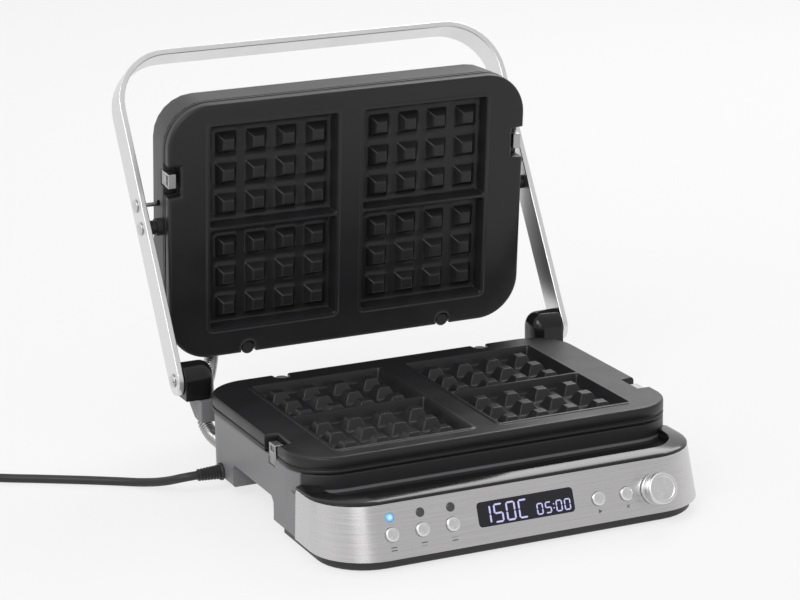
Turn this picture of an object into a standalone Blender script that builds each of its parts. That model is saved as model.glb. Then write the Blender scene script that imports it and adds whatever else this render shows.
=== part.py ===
"""Contact grill with a floating lid, waffle plates and a front control panel.

World frame: X to the right, Y to the back, Z up, metres. The floor is z = 0 and the
origin lies under the middle of the footprint. The grill is modelled open, as it rests.
Depths along Y are written from the middle of the waffle field, and SHIFT moves them
into the world frame.
"""
import math

import bmesh
import bpy
import numpy as np
from mathutils import Matrix, Vector

for old in list(bpy.data.objects):
    bpy.data.objects.remove(old, do_unlink=True)

# Clearances between neighbours
GAP = 0.0003
RUN = 0.0005
ARC = 6
ROUND = 16

# Waffle plates, both alike
PLATE_TOP = 0.0738
PLATE_SKIRT = 0.013
PLATE_WALL = 0.0024
PLATE_CORNER = 0.036
LIP_WIDTH = 0.0035
LIP_HEIGHT = 0.0008
POCKET_DEPTH = 0.0088
POCKET_DRAFT = 0.003
CELL_PITCH = 0.0262
CELL_COLUMNS = 4
CELL_ROWS = 3
CELL_BASE = 0.0170
CELL_TOP = 0.0092
CELL_SINK = 0.0006
CELL_INSET_X = 0.016575
CELL_INSET_Y = 0.01715
FIELD_INNER = 0.01175
FIELD_OUTER = FIELD_INNER + (CELL_COLUMNS - 1) * CELL_PITCH + 2 * CELL_INSET_X
RIDGE_HALF = 0.0012
FIELD_REACH = RIDGE_HALF + (CELL_ROWS - 1) * CELL_PITCH + 2 * CELL_INSET_Y
SIDE_BORDER = 0.0352
FRONT_BORDER = 0.018
BACK_BORDER = 0.0245
PLATE_HALF = FIELD_OUTER + SIDE_BORDER
PLATE_FRONT = -FIELD_REACH - FRONT_BORDER
PLATE_BACK = FIELD_REACH + BACK_BORDER

# Plate catches
NOTCH_Y = 0.0440
NOTCH_LENGTH = 0.026
NOTCH_DEPTH = 0.0105
CLIP_LENGTH = 0.0125
CLIP_THICK = 0.0068
CLIP_INSET = 0.0007
CLIP_OUTER = PLATE_HALF - CLIP_INSET
CLIP_INNER = CLIP_OUTER - CLIP_THICK
CLIP_TRAVEL = 0.0025
CLIP_ROOT = 0.006
HOOK_X = 0.089
HOOK_RADIUS = 0.0058
HOOK_RISE = 0.0105

# Hinge and arms
PIVOT_BEHIND = 0.0146
PIVOT_Y = PLATE_BACK + PIVOT_BEHIND
PIVOT_Z = 0.0763
CLOSED_GAP = 0.0020
LID_BEHIND = 0.022
OPEN_ANGLE = math.radians(60.0)
LID_OPEN = math.radians(96.28)
ARM_REACH = 0.2762
ARM_THICK = 0.005
ARM_GAP = 0.0114
ARM_OUTER = PLATE_HALF + ARM_GAP + ARM_THICK
ARM_WIDTH = 0.025
ARM_CORNER = 0.048
ARM_EDGE = 0.0006
PIN_SPACING = 0.0195
SHANK_RADIUS = 0.0025
HEAD_RADIUS = 0.0055
HEAD_HEIGHT = 0.0022
GUIDE_RADIUS = 0.0018
BOSS_RADIUS = 0.0058
BOLT_DEPTH = 0.014
SCREW_DEPTH = 0.0052
SCREW_INNER = PLATE_HALF - SCREW_DEPTH
SLOT_DEPTH = 0.0065

# Lid shell
LID_DEPTH = 0.052
LID_TAPER = 0.0027
LID_ROUND = 0.008

# Base body
BLOCK_INSET = 0.0004
BLOCK_BACK_INSET = 0.0034
BLOCK_FRONT = PLATE_FRONT + BLOCK_INSET
BLOCK_BACK = PLATE_BACK - BLOCK_BACK_INSET
BLOCK_TOP = 0.0602
LEG_BOTTOM = 0.0095
ARCH_FRONT = -0.045
ARCH_BACK = 0.0415
ARCH_TOP = 0.029
PAN_SIDE_WALL = 0.0187
PAN_FRONT_WALL = 0.0135
PAN_BACK_WALL = 0.013
PAN_HALF = PLATE_HALF - PAN_SIDE_WALL
PAN_FRONT = BLOCK_FRONT + PAN_FRONT_WALL
PAN_BACK = BLOCK_BACK - PAN_BACK_WALL
PAN_DEPTH = 0.026
PAN_CORNER = 0.022
PAN_SHEET = 0.0008
RIB_Y = 0.045
RIB_INSET = 0.025
RIB_HALF = PAN_HALF - RIB_INSET
RIB_WIDTH = 0.004
RIB_HEIGHT = 0.0075
ELEMENT_RADIUS = 0.0033
ELEMENT_BEND = 0.030
ELEMENT_INSET = 0.022
ELEMENT_ENDS = 0.012

# Steel wrap round the front
WRAP_TOP = 0.0485
WRAP_BOTTOM = 0.0095
WRAP_INSET = 0.0012
WRAP_TOP_HALF = PLATE_HALF - WRAP_INSET
WRAP_AHEAD = 0.0437
WRAP_TOP_FRONT = PLATE_FRONT - WRAP_AHEAD
WRAP_TOP_CORNER = 0.0413
WRAP_LEAN_X = 0.0017
WRAP_LEAN_Y = 0.0137
WRAP_LEAN_CORNER = 0.0034
WRAP_TAIL = 0.0174
WRAP_END = PLATE_FRONT + WRAP_TAIL
WRAP_THICK = 0.0010
TRIM_TAIL = 0.06
TRIM_TAIL_CORNER = 0.02
RIM_INSET = 0.0049
RIM_BOTTOM = 0.0016

# Feet
FOOT_RADIUS = 0.009
FOOT_SIDE_INSET = 0.0287
FRONT_FOOT_INSET = 0.0246
REAR_FOOT_INSET = 0.017
FOOT_X = PLATE_HALF - FOOT_SIDE_INSET
FRONT_FOOT_Y = WRAP_TOP_FRONT + FRONT_FOOT_INSET
REAR_FOOT_Y = BLOCK_BACK - REAR_FOOT_INSET
FOOT_SOCKET = 0.002

# Controls on the sloping panel, distances down from its top edge
LED_DOWN = 0.0100
BUTTON_DOWN = 0.0228
POCKET_INSET = 0.0295
POCKET_HALF = WRAP_TOP_HALF - POCKET_INSET
MODE_INSET = 0.018
MODE_PITCH = 0.0245
MODE_X = tuple(MODE_INSET - POCKET_HALF + MODE_PITCH * i for i in range(3))
KNOB_INSET = 0.0203
CANCEL_FROM_KNOB = 0.0241
START_FROM_CANCEL = 0.0239
KNOB_X = POCKET_HALF - KNOB_INSET
CANCEL_X = KNOB_X - CANCEL_FROM_KNOB
START_X = CANCEL_X - START_FROM_CANCEL
BUTTON_X = MODE_X + (START_X, CANCEL_X)
LED_RADIUS = 0.0032
BUTTON_RADIUS = 0.0054
BUTTON_PROUD = 0.0020
BUTTON_TRAVEL = 0.0015
KNOB_RADIUS = 0.0123
KNOB_HEIGHT = 0.0150
KNOB_BEVEL = 0.0014
SHAFT_RADIUS = 0.0030
DISPLAY_FROM_MODE = 0.021
DISPLAY_FROM_START = 0.0207
DISPLAY_LEFT = MODE_X[2] + DISPLAY_FROM_MODE
DISPLAY_RIGHT = START_X - DISPLAY_FROM_START
DISPLAY_TOP = 0.0107
DISPLAY_BOTTOM = 0.0288
DISPLAY_CORNER = 0.003
POCKET_TOP = 0.0062
POCKET_BOTTOM = 0.0345
BOARD_BACK = 0.0140
BOARD_THICK = 0.0016
BOARD_TOP = BOARD_THICK - BOARD_BACK

# Hinge covers and brackets
HUB_GAP = 0.0004
HUB_LENGTH = 0.0267
HUB_OUTER = ARM_OUTER - ARM_THICK - HUB_GAP
HUB_INNER = HUB_OUTER - HUB_LENGTH
HUB_RADIUS = 0.014
HUB_DROP = 0.015
BRACKET_INSET = 0.0010
BRACKET_INNER = HUB_INNER + BRACKET_INSET
BRACKET_OUTER = PLATE_HALF
BRACKET_BOTTOM = 0.0428
BRACKET_BEHIND = 0.011
BRACKET_BACK = PIVOT_Y + BRACKET_BEHIND

# Ribbed hose for the lid wires
HOSE_RADIUS = 0.0060
HOSE_ROOT = 0.0052
HOSE_BORE = 0.0040
HOSE_PITCH = 0.0026
HOSE_INSET = 0.0167
HOSE_X = HOSE_INSET - PLATE_HALF
HOSE_EXIT_Z = 0.023
HOSE_LID_SHIFT = 0.0275
HOSE_LID_X = HOSE_X + HOSE_LID_SHIFT
HOSE_LID_Z = 0.0005
HOSE_BENDS = ((0.0, 0.027, 0.0012), (0.0, 0.0415, 0.008), (0.0020, 0.0485, 0.0205),
              (0.0080, 0.0580, 0.032), (0.0170, 0.0740, 0.037))

# Mains cord
CORD_RADIUS = 0.0035
CORD_EXIT_Y = 0.066
CORD_EXIT_Z = 0.0155
GLAND_RADIUS = 0.0058
GLAND_DEPTH = 0.008
GLAND_LENGTH = 0.0205
COIL_RADIUS = 0.0385
COIL_LOOPS = 3
COIL_TURNS = COIL_LOOPS + 1 / 3
COIL_RISE = 0.0078
COIL_X = -0.380
COIL_Y = 0.169
COIL_START = math.radians(58)
CORD_Z = 0.0036
PLUG_RADIUS = 0.0182
PIN_GAP = 0.019
PIN_RADIUS = 0.0024

REAR_EDGE = PIVOT_Y + ARM_REACH * math.cos(OPEN_ANGLE) + ARM_WIDTH / 2 * math.sin(OPEN_ANGLE)
LID_RIM = LID_BEHIND - (PLATE_TOP - BLOCK_TOP)
LID_BACK = LID_BEHIND - LID_DEPTH
LIFT = LID_BEHIND + CLOSED_GAP + PLATE_TOP - PIVOT_Z
LID_ARM = math.hypot(PIVOT_Y, LIFT)
CLOSED_ANGLE = math.pi - math.atan2(LIFT, PIVOT_Y)
LEAN = math.atan2(WRAP_LEAN_Y, WRAP_TOP - WRAP_BOTTOM)
KNOB_LOW = BUTTON_DOWN + KNOB_RADIUS - KNOB_BEVEL
FRONT_EDGE = WRAP_TOP_FRONT - KNOB_LOW * math.sin(LEAN) - KNOB_HEIGHT * math.cos(LEAN)
SHIFT = -(REAR_EDGE + FRONT_EDGE) / 2
FAR = 0.5


def material(name, color, roughness, metallic=0.0):
    """Principled surface with the photographed colour."""
    made = bpy.data.materials.new(name)
    made.use_nodes = True
    shader = made.node_tree.nodes["Principled BSDF"]
    shader.inputs["Base Color"].default_value = (*color, 1.0)
    shader.inputs["Roughness"].default_value = roughness
    shader.inputs["Metallic"].default_value = metallic
    return made


CAST = material("cast_nonstick", (0.016, 0.016, 0.018), 0.42)
SHELL = material("grey_shell", (0.17, 0.17, 0.18), 0.5)
DARK = material("dark_shell", (0.03, 0.03, 0.033), 0.45)
GLOSS = material("gloss_black", (0.01, 0.01, 0.011), 0.12)
STEEL = material("brushed_steel", (0.56, 0.55, 0.53), 0.3, 1.0)
SATIN = material("satin_aluminium", (0.75, 0.75, 0.74), 0.35, 1.0)
CHROME = material("bright_metal", (0.7, 0.7, 0.7), 0.12, 1.0)
RUBBER = material("black_rubber", (0.02, 0.02, 0.02), 0.7)
GLASS = material("display_glass", (0.008, 0.008, 0.012), 0.08)
LENS = material("lamp_lens", (0.5, 0.65, 0.9), 0.2)
BOARD = material("circuit_board", (0.02, 0.12, 0.05), 0.5)
TIN = material("bright_tin", (0.6, 0.6, 0.6), 0.35, 1.0)


def frame(name, place, tilt=0.0, parent=None, spin=0.0):
    """An empty that carries pieces, turned about X and then about its own Z."""
    made = bpy.data.objects.new(name, None)
    bpy.context.collection.objects.link(made)
    made.parent = parent
    made.location = place
    made.rotation_euler = (tilt, 0.0, spin)
    return made


body_frame = frame("body_frame", (0.0, SHIFT, 0.0))
panel_frame = frame("panel_frame", (0.0, WRAP_TOP_FRONT, WRAP_TOP), math.pi / 2 - LEAN, body_frame)
hinge_frame = frame("hinge_frame", (0.0, PIVOT_Y, PIVOT_Z), OPEN_ANGLE, body_frame)
lid_frame = frame("lid_frame", (0.0, LID_ARM, 0.0), LID_OPEN - OPEN_ANGLE, hinge_frame)
upper_seat = frame("upper_seat", (0.0, 0.0, LID_BEHIND), 0.0, lid_frame, math.pi)
lower_seat = frame("lower_seat", (0.0, 0.0, PLATE_TOP), 0.0, body_frame)


def add(name, bm, look, parent, smooth=35.0):
    """Turn a bmesh into a named object with outward faces."""
    bmesh.ops.recalc_face_normals(bm, faces=bm.faces)
    mesh = bpy.data.meshes.new(name)
    bm.to_mesh(mesh)
    bm.free()
    mesh.materials.append(look)
    mesh.shade_smooth()
    mesh.set_sharp_from_angle(angle=math.radians(smooth))
    made = bpy.data.objects.new(name, mesh)
    bpy.context.collection.objects.link(made)
    made.parent = parent
    return made


def rings_to_bmesh(rings, bm=None):
    """Close a stack of equal rings with flat caps."""
    bm = bm or bmesh.new()
    levels = [[bm.verts.new(point) for point in ring] for ring in rings]
    count = len(levels[0])
    for below, above in zip(levels, levels[1:]):
        for i in range(count):
            j = (i + 1) % count
            bm.faces.new((below[i], below[j], above[j], above[i]))
    bm.faces.new(levels[0][::-1])
    bm.faces.new(levels[-1])
    return bm


def outline(half, front, back, front_corner, back_corner, inset=0.0, arc=ARC):
    """Rounded rectangle in plan, drawn in by inset, anticlockwise from the front right."""
    corners = (
        (half - front_corner, front + front_corner, front_corner, -90),
        (half - back_corner, back - back_corner, back_corner, 0),
        (-half + back_corner, back - back_corner, back_corner, 90),
        (-half + front_corner, front + front_corner, front_corner, 180),
    )
    points = []
    for x, y, radius, start in corners:
        for i in range(arc + 1):
            turn = math.radians(start + 90 * i / arc)
            reach = radius - inset
            points.append((x + reach * math.cos(turn), y + reach * math.sin(turn)))
    return points


def at_height(points, z):
    return [(x, y, z) for x, y in points]


def slab(points, low, high):
    """Straight prism of a plan outline."""
    return rings_to_bmesh([at_height(points, low), at_height(points, high)])


def box(x0, x1, y0, y1, z0, z1, bm=None):
    corners = rectangle(x0, x1, y0, y1)
    return rings_to_bmesh([at_height(corners, z0), at_height(corners, z1)], bm)


def turned(profile, steps=ROUND, bm=None, place=None):
    """Solid turned about Z from (radius, height) pairs that start and end off the axis."""
    rings = []
    for radius, height in profile:
        turns = [2 * math.pi * i / steps for i in range(steps)]
        rings.append([(radius * math.cos(a), radius * math.sin(a), height) for a in turns])
    if place is not None:
        rings = [[place @ Vector(point) for point in ring] for ring in rings]
    return rings_to_bmesh(rings, bm)


def across(x, y, z, side):
    """Placement whose Z axis runs along X, outward on the given side."""
    return Matrix.Translation((x, y, z)) @ Matrix.Rotation(side * math.pi / 2, 4, "Y")


def cut(target, name, bm, operation="DIFFERENCE", parent=None):
    """Keep a live exact Boolean on the target, with its guide left out of renders."""
    guide = add(name, bm, DARK, parent or target.parent)
    guide.hide_render = True
    guide.display_type = "WIRE"
    modifier = target.modifiers.new(name, "BOOLEAN")
    modifier.object = guide
    modifier.operation = operation
    modifier.solver = "EXACT"
    return guide


def soften(target, width, segments=2, angle=40.0):
    """Small edge round on everything sharper than the angle."""
    modifier = target.modifiers.new("edge round", "BEVEL")
    modifier.width = width
    modifier.segments = segments
    modifier.limit_method = "ANGLE"
    modifier.angle_limit = math.radians(angle)


def plate_outline(inset=0.0):
    return outline(PLATE_HALF, PLATE_FRONT, PLATE_BACK, PLATE_CORNER, PLATE_CORNER, inset)


def plate_blank():
    """Cast body with a rounded top edge, before the waffle field is sunk."""
    profile = ((0.0, -PLATE_SKIRT), (0.0, -0.0020), (0.0006, -0.0006), (0.0020, 0.0))
    return rings_to_bmesh([at_height(plate_outline(inset), z) for inset, z in profile])


def rectangle(x0, x1, y0, y1, draw=0.0):
    """Corners of a plan rectangle, drawn in on every side."""
    return [(x0 + draw, y0 + draw), (x1 - draw, y0 + draw), (x1 - draw, y1 - draw), (x0 + draw, y1 - draw)]


def field(side, grow, low, high, draft=0.0):
    """Plan rectangle over one half of the waffle field."""
    inner = side * (FIELD_INNER - grow)
    outer = side * (FIELD_OUTER + grow)
    x0, x1 = min(inner, outer), max(inner, outer)
    reach = FIELD_REACH + grow
    lower = rectangle(x0, x1, -reach, reach)
    upper = rectangle(x0, x1, -reach, reach, draft)
    return [at_height(lower, low), at_height(upper, high)]


def pocket_rings(side, end):
    """Tapered hollow between the lip and the cross ridge."""
    x0, x1 = sorted((side * FIELD_INNER, side * FIELD_OUTER))
    y0, y1 = sorted((end * RIDGE_HALF, end * FIELD_REACH))
    over = LIP_HEIGHT + 0.001
    slope = POCKET_DRAFT / POCKET_DEPTH
    rings = []
    for z in (-POCKET_DEPTH, over):
        draw = -z * slope
        rings.append(at_height(rectangle(x0, x1, y0, y1, draw), z))
    return rings


def pyramids():
    """Every waffle cell stud, rooted a little below the pocket floor."""
    bm = bmesh.new()
    middle_x = (FIELD_INNER + FIELD_OUTER) / 2
    middle_y = (RIDGE_HALF + FIELD_REACH) / 2
    top = -CELL_SINK
    floor = -POCKET_DEPTH
    root = floor - 0.001
    slope = (CELL_BASE - CELL_TOP) / (top - floor)
    for side in (-1, 1):
        for end in (-1, 1):
            for i in range(CELL_COLUMNS):
                for j in range(CELL_ROWS):
                    x = side * middle_x + (i - (CELL_COLUMNS - 1) / 2) * CELL_PITCH
                    y = end * middle_y + (j - (CELL_ROWS - 1) / 2) * CELL_PITCH
                    rings = []
                    for z in (root, top):
                        half = (CELL_TOP + slope * (top - z)) / 2
                        rings.append(at_height(rectangle(x - half, x + half, y - half, y + half), z))
                    rings_to_bmesh(rings, bm)
    return bm


def waffle_plate(name, seat):
    """Removable cast plate with lips, pockets, studs, catch notches and hook recesses."""
    plate = add(name, plate_blank(), CAST, seat, 30.0)
    lips = bmesh.new()
    for side in (-1, 1):
        rings_to_bmesh(field(side, LIP_WIDTH, -0.001, LIP_HEIGHT, LIP_HEIGHT), lips)
    cut(plate, name + "_lips", lips, "UNION")
    pockets = bmesh.new()
    for side in (-1, 1):
        for end in (-1, 1):
            rings_to_bmesh(pocket_rings(side, end), pockets)
    cut(plate, name + "_pockets", pockets)
    cut(plate, name + "_studs", pyramids(), "UNION")
    recess = plate_outline(0.008)
    cut(plate, name + "_underside", slab(recess, -FAR, -POCKET_DEPTH - PLATE_WALL))
    channels = bmesh.new()
    for side in (-1, 1):
        x0, x1 = sorted((side * (FIELD_OUTER + LIP_WIDTH), side * (PLATE_HALF - NOTCH_DEPTH - PLATE_WALL)))
        box(x0, x1, -FIELD_REACH + 0.01, FIELD_REACH, -PLATE_SKIRT - 0.002, -PLATE_WALL - LIP_HEIGHT, channels)
    cut(plate, name + "_side_hollows", channels)
    notches = bmesh.new()
    for side in (-1, 1):
        x0, x1 = sorted((side * (PLATE_HALF - NOTCH_DEPTH), side * (PLATE_HALF + 0.01)))
        box(x0, x1, -NOTCH_Y - NOTCH_LENGTH / 2, -NOTCH_Y + NOTCH_LENGTH / 2, -0.03, 0.01, notches)
        place = Matrix.Translation((side * HOOK_X, BLOCK_BACK, 0.0))
        turned(((HOOK_RADIUS + RUN, -0.03), (HOOK_RADIUS + RUN, 0.01)), ROUND, notches, place)
    cut(plate, name + "_notches", notches)
    return plate


def pan_cutter(front, back, low, high):
    return slab(outline(PAN_HALF, front, back, PAN_CORNER, PAN_CORNER, 0.0, 4), low, high)


def reflector(name, seat):
    """Bright pan under the heating element, with two ribs that carry it."""
    rim = BLOCK_TOP - PLATE_TOP - 0.004
    floor = BLOCK_TOP - PLATE_TOP - PAN_DEPTH + GAP
    bend = 0.008
    profile = (
        (bend, floor), (GAP, floor + bend), (GAP, rim), (GAP + PAN_SHEET, rim),
        (GAP + PAN_SHEET, floor + bend), (bend + PAN_SHEET, floor + PAN_SHEET),
    )
    rings = []
    for inset, z in profile:
        rings.append(at_height(outline(PAN_HALF, PAN_FRONT, PAN_BACK, PAN_CORNER, PAN_CORNER, inset, 4), z))
    pan = add(name, rings_to_bmesh(rings), TIN, seat)
    ribs = bmesh.new()
    for y in (-RIB_Y, RIB_Y):
        near, far = y - RIB_WIDTH / 2, y + RIB_WIDTH / 2
        box(-RIB_HALF, RIB_HALF, near, far, floor + PAN_SHEET / 2, floor + RIB_HEIGHT, ribs)
    cut(pan, name + "_ribs", ribs, "UNION")
    return pan


def curve_mesh(name, points, radius, look, parent, resolution=2, radii=None):
    """Tube along a poly line, with filled caps."""
    data = bpy.data.curves.new(name, "CURVE")
    data.dimensions = "3D"
    data.bevel_depth = radius
    data.bevel_resolution = resolution
    data.use_fill_caps = True
    data.render_resolution_u = 0
    spline = data.splines.new("POLY")
    spline.points.add(len(points) - 1)
    for i, point in enumerate(points):
        spline.points[i].co = (*point, 1.0)
        if radii is not None:
            spline.points[i].radius = radii[i]
    spline.use_smooth = True
    data.materials.append(look)
    made = bpy.data.objects.new(name, data)
    bpy.context.collection.objects.link(made)
    made.parent = parent
    return made


def smooth_route(points, spacing):
    """Evenly spaced points along a centripetal curve through the chosen ones."""
    guides = [Vector(p) for p in points]
    guides.insert(0, guides[0] * 2 - guides[1])
    guides.append(guides[-1] * 2 - guides[-2])
    fine = []
    for a, b, c, d in zip(guides, guides[1:], guides[2:], guides[3:]):
        t1 = (b - a).length ** 0.5
        t2 = t1 + (c - b).length ** 0.5
        t3 = t2 + (d - c).length ** 0.5
        for k in range(24):
            t = t1 + (t2 - t1) * k / 24
            ab = a.lerp(b, t / t1)
            bc = b.lerp(c, (t - t1) / (t2 - t1))
            cd = c.lerp(d, (t - t2) / (t3 - t2))
            abc = ab.lerp(bc, t / t2)
            bcd = bc.lerp(cd, (t - t1) / (t3 - t1))
            fine.append(abc.lerp(bcd, (t - t1) / (t2 - t1)))
    fine.append(guides[-2])
    path = np.array([tuple(p) for p in fine])
    run = np.concatenate(([0.0], np.cumsum(np.linalg.norm(np.diff(path, axis=0), axis=1))))
    count = max(2, round(run[-1] / spacing) + 1)
    marks = np.linspace(0.0, run[-1], count)
    return [tuple(np.interp(mark, run, path[:, axis]) for axis in range(3)) for mark in marks]


def heating_element(name, seat):
    """Tubular heater bent in one loop, its two ends side by side at the back."""
    z = BLOCK_TOP - PLATE_TOP - PAN_DEPTH + 2 * GAP + RIB_HEIGHT + ELEMENT_RADIUS
    bend = ELEMENT_BEND
    half = PAN_HALF - ELEMENT_BEND
    near = PAN_FRONT + ELEMENT_INSET
    far = PAN_BACK - ELEMENT_INSET
    points = [(-ELEMENT_ENDS, far, z)]
    corners = (
        (-half + bend, far - bend, 90), (-half + bend, near + bend, 180),
        (half - bend, near + bend, 270), (half - bend, far - bend, 0),
    )
    for x, y, start in corners:
        for i in range(7):
            turn = math.radians(start + 90 * i / 6)
            points.append((x + bend * math.cos(turn), y + bend * math.sin(turn), z))
    points.append((ELEMENT_ENDS, far, z))
    return curve_mesh(name, points, ELEMENT_RADIUS, DARK, seat, 1)


def wrap_point(x_sign, along, height, offset):
    """Point of the wrap: along 0..1 runs over one half from the middle to its rear end."""
    share = (WRAP_TOP - height) / (WRAP_TOP - WRAP_BOTTOM)
    half = WRAP_TOP_HALF + WRAP_LEAN_X * share
    front = WRAP_TOP_FRONT - WRAP_LEAN_Y * share
    corner = WRAP_TOP_CORNER + WRAP_LEAN_CORNER * share
    reach = corner + offset
    if along <= 1:
        return (x_sign * along * (half - corner), front - offset, height)
    if along <= 2:
        turn = (along - 1) * math.pi / 2
        x = half - corner + reach * math.sin(turn)
        return (x_sign * x, front + corner - reach * math.cos(turn), height)
    start = front + corner
    return (x_sign * (half + offset), start + (along - 2) * (WRAP_END - start), height)


def wrap_band(outer, inner, low, high, end_extra=0.0, corner_round=0.0):
    """Bent sheet round the front: a strip of cross sections from the left end to the right."""
    marks = [0.0, 1.0] + [1 + i / 9 for i in range(1, 10)] + [2.5, 2.8, 2.9, 2.96, 3.0]
    path = [(-1, m) for m in reversed(marks[1:])] + [(1, m) for m in marks]
    bm = bmesh.new()
    sections = []
    for sign, mark in path:
        top = high
        if corner_round and mark > 2.79:
            inward = (3.0 - mark) / 0.2
            drop = 1 - math.sqrt(max(0.0, 1 - (1 - inward) ** 2))
            top = high - corner_round * drop
        corners = []
        for height, offset in ((low, outer), (top, outer), (top, inner), (low, inner)):
            x, y, z = wrap_point(sign, mark, height, offset)
            if mark == 3.0:
                y += end_extra
            corners.append(bm.verts.new((x, y, z)))
        sections.append(corners)
    for a, b in zip(sections, sections[1:]):
        for i in range(4):
            j = (i + 1) % 4
            bm.faces.new((a[i], a[j], b[j], b[i]))
    bm.faces.new(sections[0])
    bm.faces.new(sections[-1][::-1])
    return bm


def panel_hole(x, down, radius, bm, depth=0.02):
    place = Matrix.Translation((x, -down, 0.0))
    turned(((radius, -depth), (radius, 0.01)), ROUND, bm, place)


def display_outline(grow):
    half = (DISPLAY_RIGHT - DISPLAY_LEFT) / 2 + grow
    middle = (DISPLAY_RIGHT + DISPLAY_LEFT) / 2
    corner = DISPLAY_CORNER
    points = outline(half, -DISPLAY_BOTTOM - grow, -DISPLAY_TOP + grow, corner, corner, 0.0, 4)
    return [(x + middle, y) for x, y in points]


def front_panel():
    """Brushed steel wrap with its display window and control holes."""
    band = wrap_band(0.0, -WRAP_THICK, WRAP_BOTTOM, WRAP_TOP, 0.0, 0.003)
    panel = add("front_panel", band, STEEL, body_frame)
    holes = bmesh.new()
    for x in MODE_X:
        panel_hole(x, LED_DOWN, LED_RADIUS + GAP, holes, 0.003)
    for x in BUTTON_X:
        panel_hole(x, BUTTON_DOWN, BUTTON_RADIUS + GAP, holes, 0.003)
    panel_hole(KNOB_X, BUTTON_DOWN, SHAFT_RADIUS + 0.001, holes, 0.003)
    rings_to_bmesh([at_height(display_outline(GAP), -0.003), at_height(display_outline(GAP), 0.01)], holes)
    cut(panel, "panel_holes", holes, parent=panel_frame)
    return panel


def front_box():
    """Lower front of the shell, leaning with the steel wrap."""
    rings = []
    for height, inset in ((WRAP_BOTTOM, 0.0015), (WRAP_BOTTOM + 0.0015, 0.0), (WRAP_TOP - 0.0045, 0.0)):
        share = (WRAP_TOP - height) / (WRAP_TOP - WRAP_BOTTOM)
        half = WRAP_TOP_HALF + WRAP_LEAN_X * share
        front = WRAP_TOP_FRONT - WRAP_LEAN_Y * share
        corner = WRAP_TOP_CORNER + WRAP_LEAN_CORNER * share
        rings.append(at_height(outline(half, front, ARCH_FRONT + 0.002, corner, 0.003, inset, 9), height))
    return rings_to_bmesh(rings)


def block_outline(inset=0.0):
    return outline(PLATE_HALF, BLOCK_FRONT, BLOCK_BACK, PLATE_CORNER, PLATE_CORNER, inset)


def hook_profile(rim):
    """Round peg on a housing rim that a plate's recess fits over."""
    r = HOOK_RADIUS
    top = rim + HOOK_RISE
    return ((r - 0.003, rim - 0.016), (r, rim - 0.012), (r, top), (r - 0.001, top + 0.001))


def base_housing():
    """Moulded body: leaning front box, plate block, side arch, pan and controls pocket."""
    block = [at_height(block_outline(inset), z) for inset, z in
             ((0.0015, LEG_BOTTOM), (0.0, LEG_BOTTOM + 0.0015), (0.0, BLOCK_TOP - 0.001), (0.001, BLOCK_TOP))]
    shell = add("base_housing", rings_to_bmesh(block), SHELL, body_frame, 30.0)
    cut(shell, "housing_front_box", front_box(), "UNION")
    hooks = bmesh.new()
    for side in (-1, 1):
        place = Matrix.Translation((side * HOOK_X, BLOCK_BACK, 0.0))
        turned(hook_profile(BLOCK_TOP), ROUND, hooks, place)
    cut(shell, "housing_hooks", hooks, "UNION")
    cut(shell, "housing_wrap_seat", wrap_band(0.01, -WRAP_THICK - GAP, 0.0, WRAP_TOP + 0.01, GAP))
    chamfer = 0.004
    arch = [(ARCH_FRONT, -0.01), (ARCH_BACK, -0.01), (ARCH_BACK, ARCH_TOP - chamfer),
            (ARCH_BACK - chamfer, ARCH_TOP), (ARCH_FRONT + chamfer, ARCH_TOP), (ARCH_FRONT, ARCH_TOP - chamfer)]
    cut(shell, "housing_arch", rings_to_bmesh([[(x, y, z) for y, z in arch] for x in (-FAR, FAR)]))
    cut(shell, "housing_pan", pan_cutter(PAN_FRONT, PAN_BACK, BLOCK_TOP - PAN_DEPTH, BLOCK_TOP + 0.01))
    pocket = box(-POCKET_HALF, POCKET_HALF, -POCKET_BOTTOM, -POCKET_TOP, -BOARD_BACK - GAP, 0.01)
    cut(shell, "housing_controls_pocket", pocket, parent=panel_frame)
    cut(shell, "housing_sockets", sockets())
    return shell


def sockets():
    """Seats for rear feet, clips, the hose and the cord gland."""
    bm = bmesh.new()
    for side in (-1, 1):
        place = Matrix.Translation((side * FOOT_X, REAR_FOOT_Y, 0.0))
        turned(((FOOT_RADIUS + GAP, -0.01), (FOOT_RADIUS + GAP, LEG_BOTTOM + FOOT_SOCKET)), ROUND, bm, place)
        clip_slot(side, BLOCK_TOP, 1.0, bm, -NOTCH_Y)
    exit_spot = Matrix.Translation((HOSE_X, BLOCK_BACK - 0.006, HOSE_EXIT_Z))
    place = exit_spot @ Matrix.Rotation(-math.pi / 2, 4, "X")
    turned(((HOSE_RADIUS + GAP, 0.0), (HOSE_RADIUS + GAP, 0.03)), ROUND, bm, place)
    gland = across(-PLATE_HALF + GLAND_DEPTH, CORD_EXIT_Y, CORD_EXIT_Z, -1)
    turned(((GLAND_RADIUS + GAP, 0.0), (GLAND_RADIUS + GAP, 0.03)), ROUND, bm, gland)
    return bm


def clip_slot(side, rim, up, bm, y):
    """Open side slot in a housing rim that a sliding catch rides in."""
    x0, x1 = sorted((side * (CLIP_INNER - GAP), side * (PLATE_HALF + 0.01)))
    z0, z1 = sorted((rim - up * (CLIP_ROOT + GAP), rim + up * 0.01))
    box(x0, x1, y - CLIP_LENGTH / 2 - GAP, y + CLIP_LENGTH / 2 + GAP, z0, z1, bm)


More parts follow.
